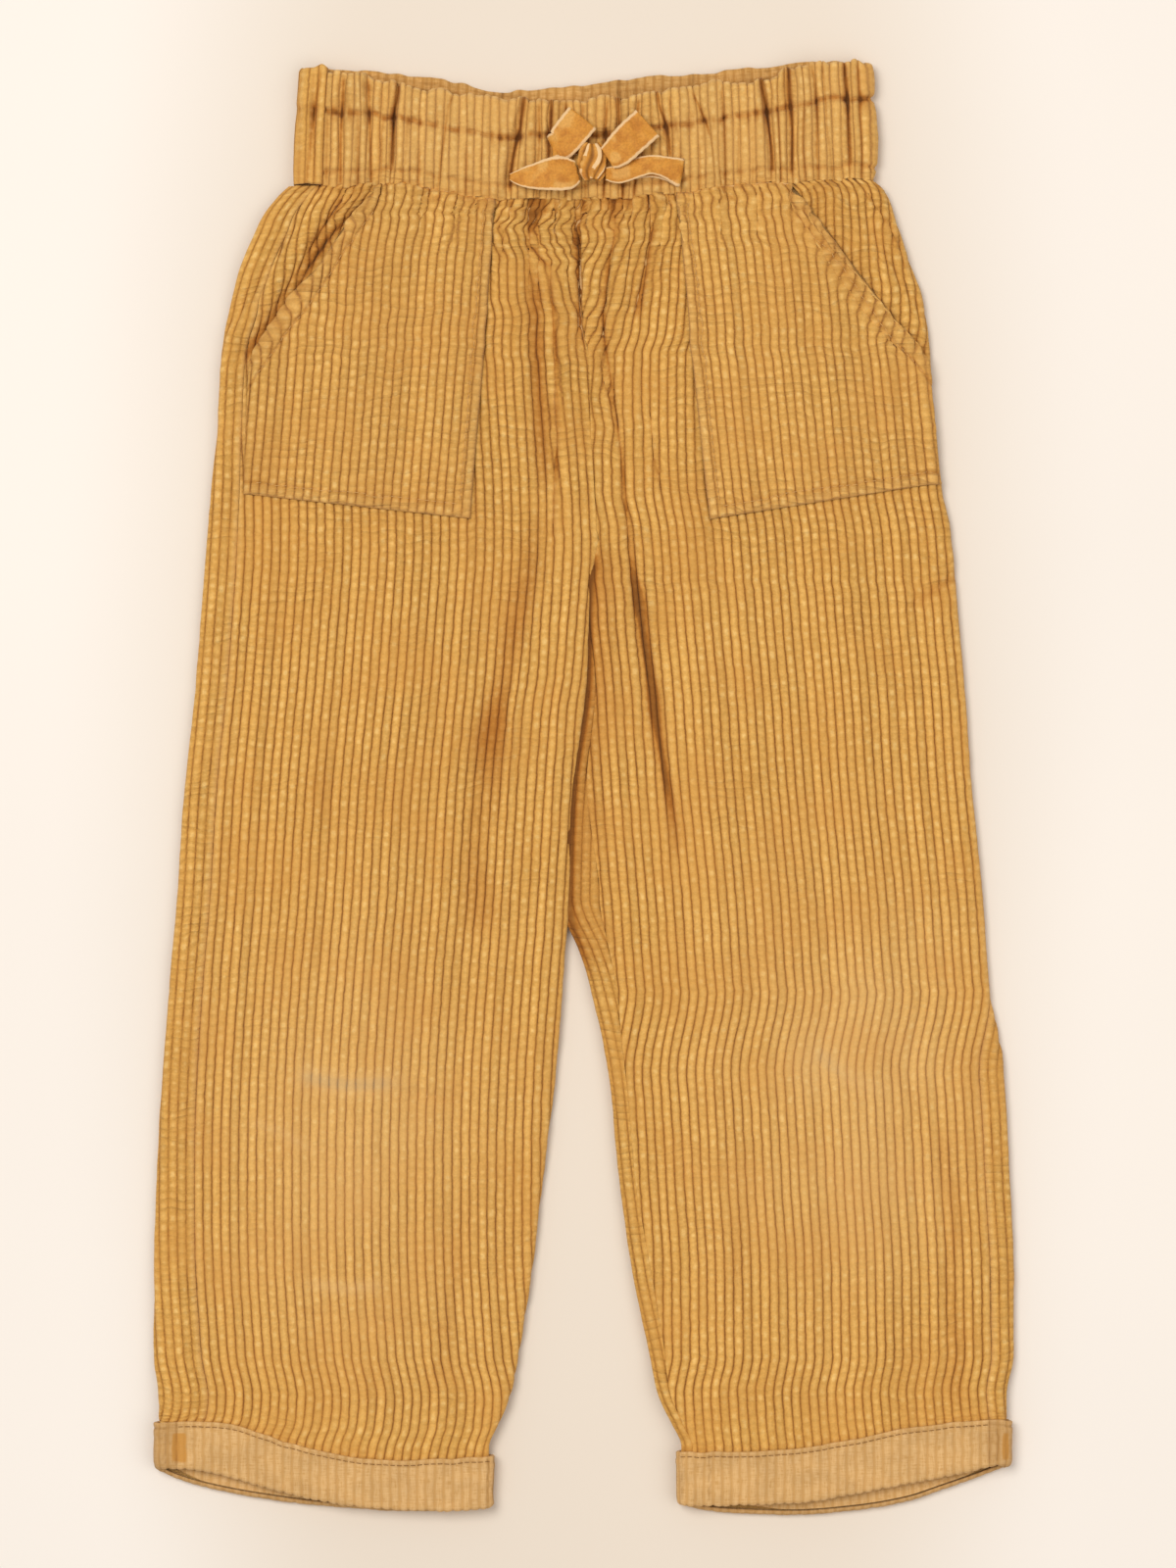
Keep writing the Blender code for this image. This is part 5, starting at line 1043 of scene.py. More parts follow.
def pocketPanel(leg):
    shape = pocket[leg["name"]]
    picked, arcs, table, surface = frontSurface(leg)
    seamLine = lineThrough([(s["y"], s["seam"]) for s in picked])
    (topX, topY), (lowX, lowY) = shape["innerTop"], shape["innerLow"]

    def innerArc(y):
        # distance along the cloth from the outer edge to the pocket's inner edge
        x = lowX + (y - lowY) / (topY - lowY) * (topX - lowX)
        rowsX = table[:, :, 0] * leg["direction"]
        made = []
        for value, height in zip(np.ravel(x), np.ravel(y)):
            k = int(np.clip((picked[0]["y"] - height) / cloth["rowStep"], 0, len(picked) - 1))
            made.append(np.interp(value * leg["direction"], rowsX[k], arcs))
        return np.reshape(made, np.shape(y))

    sample = np.arange(112.0, 280.0, 4.0)
    innerLine = lineThrough(list(zip(sample, innerArc(sample))))
    pitch = cloth["wale"]
    count = int((float(innerLine(lowY)) - float(seamLine(140.0))) / pitch) + 2
    cords = np.concatenate([cordPlaces(count), [count]])

    def place(cord, y):
        return np.maximum(innerLine(y) - cord * pitch, seamLine(y) + pocket["clearOfSeam"])

    # where each cord meets the mouth or the waist seam, and the bottom edge
    mouthLowX = float(surface(place(np.array([200.0]), np.array([shape["mouthY"]])),
                              np.array([shape["mouthY"]]))[0, 0])
    topYs = np.full(len(cords), shape["mouthY"] + 5.0)
    for _ in range(40):
        x = surface(place(cords, topYs), topYs)[:, 0]
        share = np.clip((x - mouthLowX) / (shape["mouthTopX"] - mouthLowX), 0.0, None)
        mouth = shape["mouthY"] + share ** 0.97 * (bandSeam(x) - shape["mouthY"])
        seamTop = bandSeam(x) + seamPucker(x) - 0.5
        topYs = 0.5 * topYs + 0.5 * np.minimum(mouth, seamTop)
    byMouth = (mouth < seamTop)[None, :]
    wide = abs(lowX - mouthLowX)
    lowYs = np.full(len(cords), lowY)
    for _ in range(20):
        x = surface(place(cords, lowYs), lowYs)[:, 0]
        lowYs = lowY + (shape["bottomY"] - lowY) * np.clip(np.abs(x - lowX) / wide, 0, 1)
    down = np.linspace(0.0, 1.0, pocket["rows"])
    # rows crowd at the mouth and the bottom, where the edge turns under
    down = down - 0.035 * np.sin(2 * math.pi * down)
    y = topYs[None, :] + down[:, None] * (lowYs - topYs)[None, :]
    cord = np.broadcast_to(cords[None, :], y.shape)
    along = alongOf(y)
    nearTop = bell(topYs[None, :] - y, 9.0)
    swayed = cord + (sway(cord + 170, along) + 0.13 * nearTop * noiseD(cord / 1.5, along / 1.3)
                     ) * np.minimum(cord * 2.0, 1.0)
    arc = place(swayed, y)
    base = surface(arc, y)
    cut = arc <= seamLine(y) + pocket["clearOfSeam"] + 1e-6
    fromInner = innerLine(y) - arc
    cordHere = np.where(cut, fromInner / pitch, cord)
    fromSide = arc - seamLine(y) - pocket["clearOfSeam"]
    fromLow = y - lowYs[None, :]
    fromTop = topYs[None, :] - y
    fromMouth = np.where(byMouth, fromTop * pocket["mouthSlant"], fromTop)
    mouthOnly = np.where(byMouth, fromTop * pocket["mouthSlant"], 99.0)
    edge = np.minimum(np.minimum(fromInner, fromLow), np.minimum(fromMouth, fromSide))
    rounding = edgeShare(edge + 0.05, 0.9)
    rise = pocket["rise"] * cordHeight(cordHere + 170, along)
    # the stitched mouth is drawn up into small rucks
    mouthNear = bell(mouthOnly, 8.0)
    rise = rise * (1.0 + (0.18 + 0.5 * mouthNear) * noiseC(cordHere / 1.7, along / 0.8))
    rise = rise + 0.55 * mouthNear * noiseE(cordHere / 1.1, along / 0.75)
    hemEdge = np.minimum(fromInner, fromLow)
    hem = 0.35 * smooth((pocket["hem"] - hemEdge) / 1.2 + 0.5)
    groove = 0.75 * bell(hemEdge - pocket["hem"], 0.75)
    groove = np.where(hemEdge < 12.0, groove, 0.0)
    mouthGroove = 0.8 * bell(mouthOnly - pocket["mouthHem"], 0.9)
    mouthHem = 0.4 * smooth((pocket["mouthHem"] - mouthOnly) / 1.5 + 0.5)
    puff = 1.1 * nearTop * noiseD(base[..., 0] / 3.0, y / 4.0)
    puff += 0.5 * noiseB(cordHere / 6.0 + 3.0, along / 9.0)
    puff += 0.25 * noiseA(cordHere / 2.6, along / 3.2)
    gape = 1.5 * bell(mouthOnly, 7.0) * smooth(fromSide / 12.0)
    seamTuck = np.where(byMouth, 0.0, 1.0 * bell(fromTop, 2.2))
    sideTuck = 0.8 * bell(fromSide, 2.0)
    lift = pocket["ground"] + rise + hem + mouthHem - groove - mouthGroove
    out = pocket["clear"] + gape + puff * smooth(edge / 10.0) + lift * rounding - seamTuck - sideTuck
    spread = np.stack([cordHere + firstCord["pocket"][leg["name"]], along,
                       0.7 + 0.5 * smooth((pocket["hem"] + 1.0 - hemEdge) / 1.5)
                       + 0.25 * bell(mouthOnly, 9.0)], -1)
    under = pocket["clear"] + 0.9 * gape + 0.5 * puff * smooth(edge / 10.0) - 0.4
    outer, inner = (np.stack([base[..., 0] + away * base[..., 2], y,
                              base[..., 1] + away * base[..., 3]], -1) for away in (out, under))
    inner = inner[np.ix_(someOf(pocket["rows"], 4), someOf(len(cords), 9))]
    pale = 0.22 * bell(hemEdge, 0.9) + 0.12 * bell(mouthOnly, 7.0)
    worn = 0.12 + 0.25 * smooth((pocket["hem"] - hemEdge) / 3.0)
    # painted shade in dents, in the stitch grooves and in the puckers along the seam and the mouth
    lie = 0.35 * np.clip(-puff, 0, 1) + 0.55 * (groove + mouthGroove)
    puckerShade = np.clip(-0.3 - noiseA(base[..., 0] / 2.2, y / 5.0), 0, 1)
    lie = lie + 1.6 * puckerShade * np.where(byMouth, 0.0, nearTop)
    puckerShade = np.clip(-0.35 - noiseB(base[..., 0] / 1.9, y / 2.6), 0, 1)
    lie = lie + 1.2 * puckerShade * mouthNear
    facts = {"cloth": spread, "worn": worn, "lie": lie, "pale": pale}
    threadLines[f"pocket_{leg['name']}"] = stitchingLines(
        outer, fromInner, fromSide, fromLow, mouthOnly)
    return clothShell(f"pocket_{leg['name']}_cloth", outer, inner, facts,
                      [corduroy, reverseCloth])


# bodies of cloth made as closed rings along a line
def ringShell(name, loops, facts, materials, slotsRound=None):
    # loops is [place along][point round][xyz], and each loop closes on itself
    count, around = loops.shape[:2]
    index = np.arange(count * around).reshape(count, around)
    faces = gridFaces(np.concatenate([index, index[:, :1]], 1))
    slots = None
    if slotsRound is not None:
        slots = np.tile(slotsRound, count - 1).tolist() + [slotsRound[0], slotsRound[0]]
    faces += [index[0].tolist()[::-1], index[-1].tolist()]
    spread = {}
    for key, values in facts.items():
        values = np.asarray(values, float)
        spread[key] = values.reshape(-1, 3) if values.ndim == 3 else values.ravel()
    return finishMesh(name, loops.reshape(-1, 3), faces, spread, materials, slots)


# waistband: a gathered casing with a standing frill above
band = {
    "gather": [(-131, 0.7), (-120, 1.2), (-95, 1.3), (-85, 0.5), (-78, 0.25), (-40, 0.3),
               (-28, 1.0), (30, 0.9), (45, 0.4), (78, 0.3), (88, 1.2), (110, 1.0), (131, 0.7)],
    # deep pleats that swallow cords: x at the frill, x at the seam, width, depth, and where
    # each begins and ends (0 frill's edge, 1 stitching, 2 seam)
    "slits": [
        (-128, -127.6, 1, 1.2, 0, 2.2), (-124, -120.6, 1, 1, 0, 2.2),
        (-119.9, -124.1, 1.5, 1.6, 0, 2.2), (-109.4, -109.4, 1.7, 2, 0, 2.2),
        (-98.8, -95.3, 1.5, 1.6, 0, 2.2), (-115, -116, 1.2, 1.1, 0.9, 2.2),
        (-103.5, -101.6, 1.2, 1.1, 0.9, 2.2), (-91, -91.5, 1.1, 0.9, 0.9, 2.2),
        (-85.2, -86.8, 1.3, 3.6, -0.3, 1.9), (-59.5, -66.5, 1.2, 1.1, 0, 2.2),
        (-73.5, -73.5, 1.1, 1.1, 1.3, 2.2), (-53.1, -53.1, 1.1, 1, 1.2, 2.2),
        (-45, -46.5, 1, 0.8, 1, 1.8), (-79, -80, 1, 0.8, 1.1, 1.9), (-26.6, -33.5, 1.8, 3, -0.3, 2),
        (-20.1, -21.5, 1.3, 1.5, 0, 2.2), (-15.2, -15.6, 1.4, 2.9, -0.3, 1.8),
        (-8, -8.5, 1.3, 1.4, 0, 2.2), (-1, 0.5, 1.3, 1.3, 0, 2.2), (10.9, 9, 1.4, 1.6, 0, 2.2),
        (15.8, 16.5, 1.4, 2.8, -0.3, 2.2), (24.2, 22.5, 1.5, 2, 0, 2.2),
        (33.4, 41, 1.6, 2.4, -0.3, 1.6), (48.1, 62, 1.4, 1.7, 0.1, 1.35),
        (62.9, 63.6, 1.2, 1.2, 0, 2.2), (52.5, 52.5, 1.1, 0.9, 1.2, 2.2), (70, 69.2, 1, 0.8, 1, 2),
        (76, 76.2, 1, 0.8, 1.1, 2.2), (81.4, 84.3, 1.5, 3.4, -0.3, 2), (87, 88, 1.1, 1.3, 0.9, 2.2),
        (93.1, 93.5, 1.8, 2.8, -0.3, 2), (99.5, 99, 1.1, 1.2, 0.9, 2.2),
        (103.7, 105.5, 1.3, 1.6, 0, 2.2), (109, 111, 1.1, 1, 0, 2.2),
        (118.4, 120.1, 1.4, 2.3, -0.2, 2), (125.4, 124.7, 1.2, 1.2, 0, 2.2)],
    # flat raised box pleats: left and right edge at the frill and at the seam, height
    "boxes": [(-84.4, -28.4, -86, -36.5, 1.9), (38, 80.6, 45.5, 83.4, 1.5),
              (-128, -100, -126, -97, 0.5), (95.5, 118, 96, 119.5, 0.7)],
    "frillFlute": 1.3, "stitchDepth": 1.7, "lowStitch": 6.3, "lowDepth": 1.1,
}
gatherAmount = lineThrough(band["gather"])


bandWidth = waist["right"] - waist["left"]
bandOver, bandUnder = loopRuns(bandWidth, level(waist["overZ"]), level(waist["underZ"]),
                               1.0, 1.0, waist["roll"])


def bandY(down, frillY, stitchY, seamY):
    return np.where(down <= 1, frillY + down * (stitchY - frillY),
                    stitchY + (down - 1) * (seamY - stitchY))


def bandPleats(x, down):
    # down is 0 at the frill's edge, 1 at its stitching and 2 at the seam to the legs;
    # gives how closely the cords crowd at each place, how high the cloth stands, and the painted
    # shadow in its pleats
    taken, height, dark = np.ones(len(x)), np.zeros(len(x)), np.zeros(len(x))
    for k, (top, low, width, depth, first, last) in enumerate(band["slits"]):
        middle = top + 0.5 * down * (low - top) + 1.0 * float(noiseE(1.5 * down + 2.7 * k, 0.5))
        live = float(smooth((down - first) / 0.3) * smooth((last - down) / 0.3))
        # each is drawn in hardest where it is stitched
        live *= 0.8 + 0.5 * bell(down - 1.0, 0.16)
        away = np.abs(x - middle) / width
        taken += 0.62 * depth / width * bell(away, 1.15)
        height += depth * live * (0.30 * bell(away - 2.5, 1.5)
                                  - np.exp(-(away ** 1.6)))
        # painted shadow down the middle of each pleat
        dark = np.maximum(dark, min(0.5 * depth, 1.1) * live * bell(away, 0.42))
    for left, right, leftLow, rightLow, tall in band["boxes"]:
        a = left + 0.5 * down * (leftLow - left)
        b = right + 0.5 * down * (rightLow - right)
        calm = float(smooth((2.05 - down) / 0.5))
        height += tall * calm * smooth((x - a) / 1.0) * smooth((b - x) / 1.0)
    amount = gatherAmount(x)
    frill = noiseA(x / 5.2 + 0.5 * down, 1.1 * down) + 0.5 * noiseC(x / 2.7, 2.6 * down + 4)
    casing = 1.0 - 2.2 * np.abs(noiseB(x / 4.4, 5.0 + 0.7 * down))
    share = float(smooth((down - 0.85) / 0.3))
    height += (0.25 + amount) * ((1 - share) * 0.85 * frill + share * 0.5 * casing)
    # short puckers run up from the seam and both ways from the stitching
    low = bell(2.0 - down, 0.22)
    near = bell(down - 1.0, 0.20)
    height += (0.7 * low + 0.9 * near) * noiseD(x / 2.4, 6.0 + 2.0 * down)
    return taken, height, dark


def frontBand():
    start, end = waist["seamIn"] - 0.2, bandOver["arc"][-1] - 0.4
    pitch = cloth["wale"] * 0.97
    fine = np.linspace(start, end, 2200)
    fineX = waist["left"] + pathAt(bandOver, fine)[0][:, 0]
    swallowed = 0.62 * math.sqrt(math.pi) * 1.15 * sum(row[3] for row in band["slits"])
    total = (end - start + 0.8 * swallowed) / pitch
    cord = cordPlaces(int(total) + 1)
    cord = np.concatenate([cord[cord < total - 0.02], [total]])
    faceDown = np.concatenate([[0.0, 0.018, 0.045, 0.08], np.linspace(0.13, 0.97, 22),
                               np.linspace(1.02, 1.96, 38), [1.985, 2.0]])
    backDown = np.array([2.0, 1.7, 1.4, 1.05, 0.8, 0.5, 0.2, 0.05])
    downs = np.concatenate([faceDown, backDown])
    facing = np.concatenate([[0.0], np.ones(len(faceDown) - 1), -np.ones(len(backDown))])
    loops, spread = np.zeros((2, len(cord), len(downs), 3))
    worn, lie, pale = np.zeros((3, len(cord), len(downs)))
    for k, (down, side) in enumerate(zip(downs, facing)):
        taken = bandPleats(fineX, down)[0]
        count = np.concatenate([[0.0], np.cumsum((taken[1:] + taken[:-1]) / 2)])
        arcs = np.interp(cord / total, count / count[-1], fine)
        wander = 0.55 * noiseD(cord / 1.4 + 3, 1.9 * down) * gatherAmount(arcs + waist["left"])
        arcs = arcs + wander * smooth((arcs - start) / 4.0) * smooth((end - arcs) / 4.0)
        point, normal = pathAt(bandOver, arcs)
        x = waist["left"] + point[:, 0]
        up = np.clip(normal[:, 1], 0, 1)
        _, height, dark = bandPleats(x, down)
        frillY, stitchY = bandFront(x), bandStitch(x)
        seamY = bandSeam(x) - 0.9 + 0.7 * noiseA(np.floor(cord) * 1.3, 2.0)
        y = bandY(down, frillY, stitchY, seamY)
        y = y + seamPucker(x) * float(smooth((down - 1.6) / 0.4))
        along = alongOf(y)
        profile = cordHeight(cord + firstCord["band"]["front"], along)
        jag = 0.7 * (cordProfile(cord % 1.0) - 0.6) + 1.3 * noiseC(x / 4.0, 2.0)
        jag = jag + 0.8 * noiseA(np.floor(cord) * 0.9, 7.0)
        y = y + jag * (1 - smooth(down / 0.3))
        sag = 0.8 * noiseD(x / 6.0, 3.0) + 0.35 * noiseC(x / 2.2, 5.0)
        line = bell(y - stitchY - sag, 1.15)
        lowLine = bell(y - seamY - band["lowStitch"] + 0.8 * sag, 1.0)
        pucker = np.clip(1.0 + 0.7 * noiseE(x / 2.0, 1.0), 0.3, 1.8)
        half = np.interp(down, [0, 0.1, 0.5, 0.85, 1.0, 1.15, 1.45, 1.75, 2.0],
                         [1.0, 1.9, 2.3, 1.7, 1.2, 2.0, 2.5, 2.0, 0.2])
        fromFrill = min(down, 1) * waist["frillTall"]
        flute = (band["frillFlute"] * (0.3 + gatherAmount(x)) * noiseB(x / 6.5 + 9, 0.5)
                 * float(smooth(1.0 - down / 0.9)))
        if side > 0:
            half = half * float(edgeShare(np.array(fromFrill + 0.02), 1.3))
            rise = 0.85 * profile * float(edgeShare(np.array(fromFrill + 0.3), 1.5))
            rise = rise * (1.0 - 0.7 * float(smooth((down - 1.9) / 0.1)))
            groove = band["stitchDepth"] * line * pucker + band["lowDepth"] * lowLine * pucker
            out = half + (height + flute) * up + rise - groove
            out = np.maximum(out, -2.6)
            # the cloth is drawn into small puckers at the stitching, darkened with painted shade
            stitchPuckerShade = np.clip(-0.25 - noiseA(x / 1.9, 2.0 + 3.0 * down), 0, 1)
            # painted shade in troughs, pleats, stitch grooves and puckers
            lie[:, k] = (np.clip(-0.26 * (height + flute) - 0.1, 0, 0.9) + 1.4 * dark
                         + 0.75 * line * pucker + 0.4 * lowLine * pucker
                         + 1.6 * stitchPuckerShade * bell(down - 1.0, 0.22))
            pale[:, k] = 0.8 * bell(fromFrill, 1.2) * cordProfile(cord % 1.0)
            worn[:, k] = 0.35 + 0.15 * np.clip(height, 0, 2)
        else:
            out = (flute + 0.6 * np.minimum(height, 1.0)) * up
            if side < 0:
                thin = 1.0 - 0.55 * np.abs(normal[:, 0])
                wall = np.interp(down, [0, 1, 1.5, 2.0], [1.2, 1.3, 2.1, 1.3])
                out = -wall * thin + np.minimum(out, 0.6) - 1.2 * up * (down > 1.0)
            pale[:, k] = 0.8 * cordProfile(cord % 1.0) * (side == 0)
        loops[:, k, 0] = (x + out * normal[:, 0]) * (1.0 + waist["flare"] * down / bandWidth)
        loops[:, k, 1] = y
        loops[:, k, 2] = point[:, 1] + out * normal[:, 1]
        spread[:, k, 0] = cord + firstCord["band"]["front"]
        spread[:, k, 1] = along
        spread[:, k, 2] = 0.35
    # the inside of the band never comes through its face
    for k in range(len(faceDown), len(downs)):
        nearest = np.argmin(np.abs(faceDown - downs[k]))
        loops[:, k, 2] = np.minimum(loops[:, k, 2], loops[:, nearest, 2] - 0.6)
    facts = {"cloth": spread, "worn": worn, "lie": lie, "pale": pale}
    return ringShell("waistband_front_cloth", loops, facts, [corduroy])


def backBand():
    pitch = cloth["wale"]
    flapEnd = waist["seamIn"] - cloth["slit"]
    flap = flapEnd - cordPlaces(4) * pitch
    flap = flap[flap > 0.1]
    fromEdge = np.arange(0.0, bandUnder["arc"][-1] - 0.4, pitch / 4)
    parts = [(*pathAt(bandOver, flap), (flapEnd - flap) / pitch, np.ones(len(flap))),
             (*pathAt(bandUnder, fromEdge), (flapEnd + fromEdge) / pitch, np.zeros(len(fromEdge)))]
    point, normal, cord, onTop = (np.concatenate(column) for column in zip(*parts))
    x = waist["left"] + point[:, 0]
    facingUp = np.clip(normal[:, 1], 0, 1)
    facingDown = np.clip(-normal[:, 1], 0, 1)
    outDown = np.concatenate([[2.0, 1.97], np.linspace(1.85, 1.05, 13), np.linspace(0.95, 0.1, 9),
                              [0.05, 0.02, 0.0]])
    inDown = np.concatenate([[0.02, 0.05], np.linspace(0.09, 0.9, 17), [1.1, 1.4, 1.7, 2.0]])
    downs = np.concatenate([outDown, inDown])
    facing = np.concatenate([np.ones(len(outDown)), -np.ones(len(inDown))])
    frillY, stitchY, seamY = bandBack(x), bandStitch(x), backSeam(x) + cloth["gap"] / 2
    loops, spread = np.zeros((2, len(x), len(downs), 3))
    worn, lie, pale = np.zeros((3, len(x), len(downs)))
    flapOnly = facingUp * onTop
    splits = [(-37.6, 1.3), (16.4, 1.4), (50.2, 1.3), (-72.0, 0.9), (84.0, 0.9)]
    for k, (down, side) in enumerate(zip(downs, facing)):
        y = bandY(down, frillY, stitchY, seamY)
        along = alongOf(y)
        jag = np.where(onTop > 0, 1.3 * noiseC(x / 4.0, 2.0), 0.8 * noiseC(x / 5.0, 8.0))
        y = y + jag * (1 - smooth(down / 0.25))
        y = y + seamPucker(x) * float(smooth((down - 1.6) / 0.4)) * onTop
        fromFrill = (frillY - y) + 0.02
        half = np.interp(down, [0, 0.1, 0.85, 1.0, 1.18, 1.45, 1.8, 2.0],
                         [1.0, 1.7, 1.6, 1.3, 1.9, 2.1, 1.9, 1.3])
        half = half * edgeShare(np.full(len(x), down * waist["frillTall"] + 0.02), 1.3)
        if side > 0:
            profile = cordHeight(cord + firstCord["band"]["back"], along)
            line = bell(y - stitchY, 1.05)
            rise = 0.85 * profile * facingUp
            fromSide = np.abs(cord) * pitch
            _, height, dark = bandPleats(x, down)
            tuck = 0.3 * bell(fromSide, 1.0) * onTop
            out = half + rise - 1.5 * line * facingUp - tuck + height * flapOnly
            out = out + 0.5 * noiseA(x / 3.5, 4.0 + down) * facingUp
            # painted shade in troughs, pleats and the stitch groove
            lie[:, k] = (np.clip(-0.26 * height - 0.1, 0, 0.9) + 1.4 * dark + 0.6 * line) * flapOnly
            worn[:, k] = 0.1
        else:
            wave = 0.5 * noiseB(x / 5.5, 0.6 * down + 3.0)
            rib = 0.12 * (cordProfile((x / pitch) % 1.0) - 0.5)
            rows = 0.6 * bell(fromFrill - 2.6, 0.5)
            rows = rows + 0.5 * bell(fromFrill - 6.3, 0.5)
            rows = rows - 0.35 * bell(fromFrill - 4.4, 1.4)
            cut = sum(depth * bell(x - place, 0.7) for place, depth in splits)
            out = -half * (1 - 0.4 * np.abs(normal[:, 0])) - facingDown * (wave + rib - rows - cut)
            # painted shade in the inside's stitched rows and splits
            lie[:, k] = facingDown * np.clip(rows + 0.7 * cut, 0, 1) * 0.8
            pale[:, k] = 0.35 * bell(fromFrill, 1.5)
        loops[:, k, 0] = (x + out * normal[:, 0]) * (1.0 + waist["flare"] * down / bandWidth)
        loops[:, k, 1] = y
        loops[:, k, 2] = np.maximum(point[:, 1] + out * normal[:, 1], 0.0)
        spread[:, k, 0] = cord + firstCord["band"]["back"]
        spread[:, k, 1] = along
    facts = {"cloth": spread, "worn": worn, "lie": lie, "pale": pale}
    inside = np.zeros(len(downs), int)
    inside[len(outDown):] = 1
    return ringShell("waistband_back_cloth", loops, facts, [corduroy, shadedFacingCloth], inside)


# turn-ups: the cloth's reverse shows, with the cords faint through it
turnUp = {"rib": 0.3, "foldRib": 0.6, "wave": 0.35, "stitchAt": 2.2, "stitchDepth": 0.5,
          # where the pile side shows: x from and to, y from and to, strength
          "patches": {"left": [(-189.8, -180.2, -309.5, -292.4, 0.75)],
                      "right": [(189.6, 195.8, -309.0, -292.6, 0.7)]},
          # seam lines on the face: x, y from and to, strength
          "seamLines": {"left": [(-43.8, -328.0, -306.0, 0.6), (-191.4, -309.0, -292.0, 0.4)],
                        "right": [(57.2, -327.0, -304.5, 0.55), (45.0, -326.0, -305.0, 0.4),
                                  (189.0, -309.0, -292.0, 0.45)]}}


def cuffProfile(height):
    # (up from the fold, in from the outer face, kind): 1 outer face, 2 fold, 0 inside
    wall, turn = cuff["wall"], cuff["wall"] + cloth["gap"] / 2
    made = [(height - 0.5, wall, 0), (height - 0.12, 0.72 * wall, 0), (height, 0.45 * wall, 1),
            (height - 0.12, 0.16 * wall, 1), (height - 0.5, 0.0, 1)]
    faceCount = 18
    for k in range(1, faceCount):
        made.append((height - 0.5 + (turn - height + 0.5) * k / faceCount, 0.0, 1))
    for k in range(9):
        angle = math.pi * k / 8
        made.append((turn - turn * math.sin(angle), turn - turn * math.cos(angle), 2))
    small = cloth["gap"] / 2
    for k in (0, 2, 4):
        angle = math.pi * (1 - k / 4)
        made.append((turn - small * math.sin(angle), turn - small * math.cos(angle), 0))
    for k in range(1, 5):
        made.append((turn + (height - turn - 0.5) * k / 5, wall, 0))
    return np.array(made)


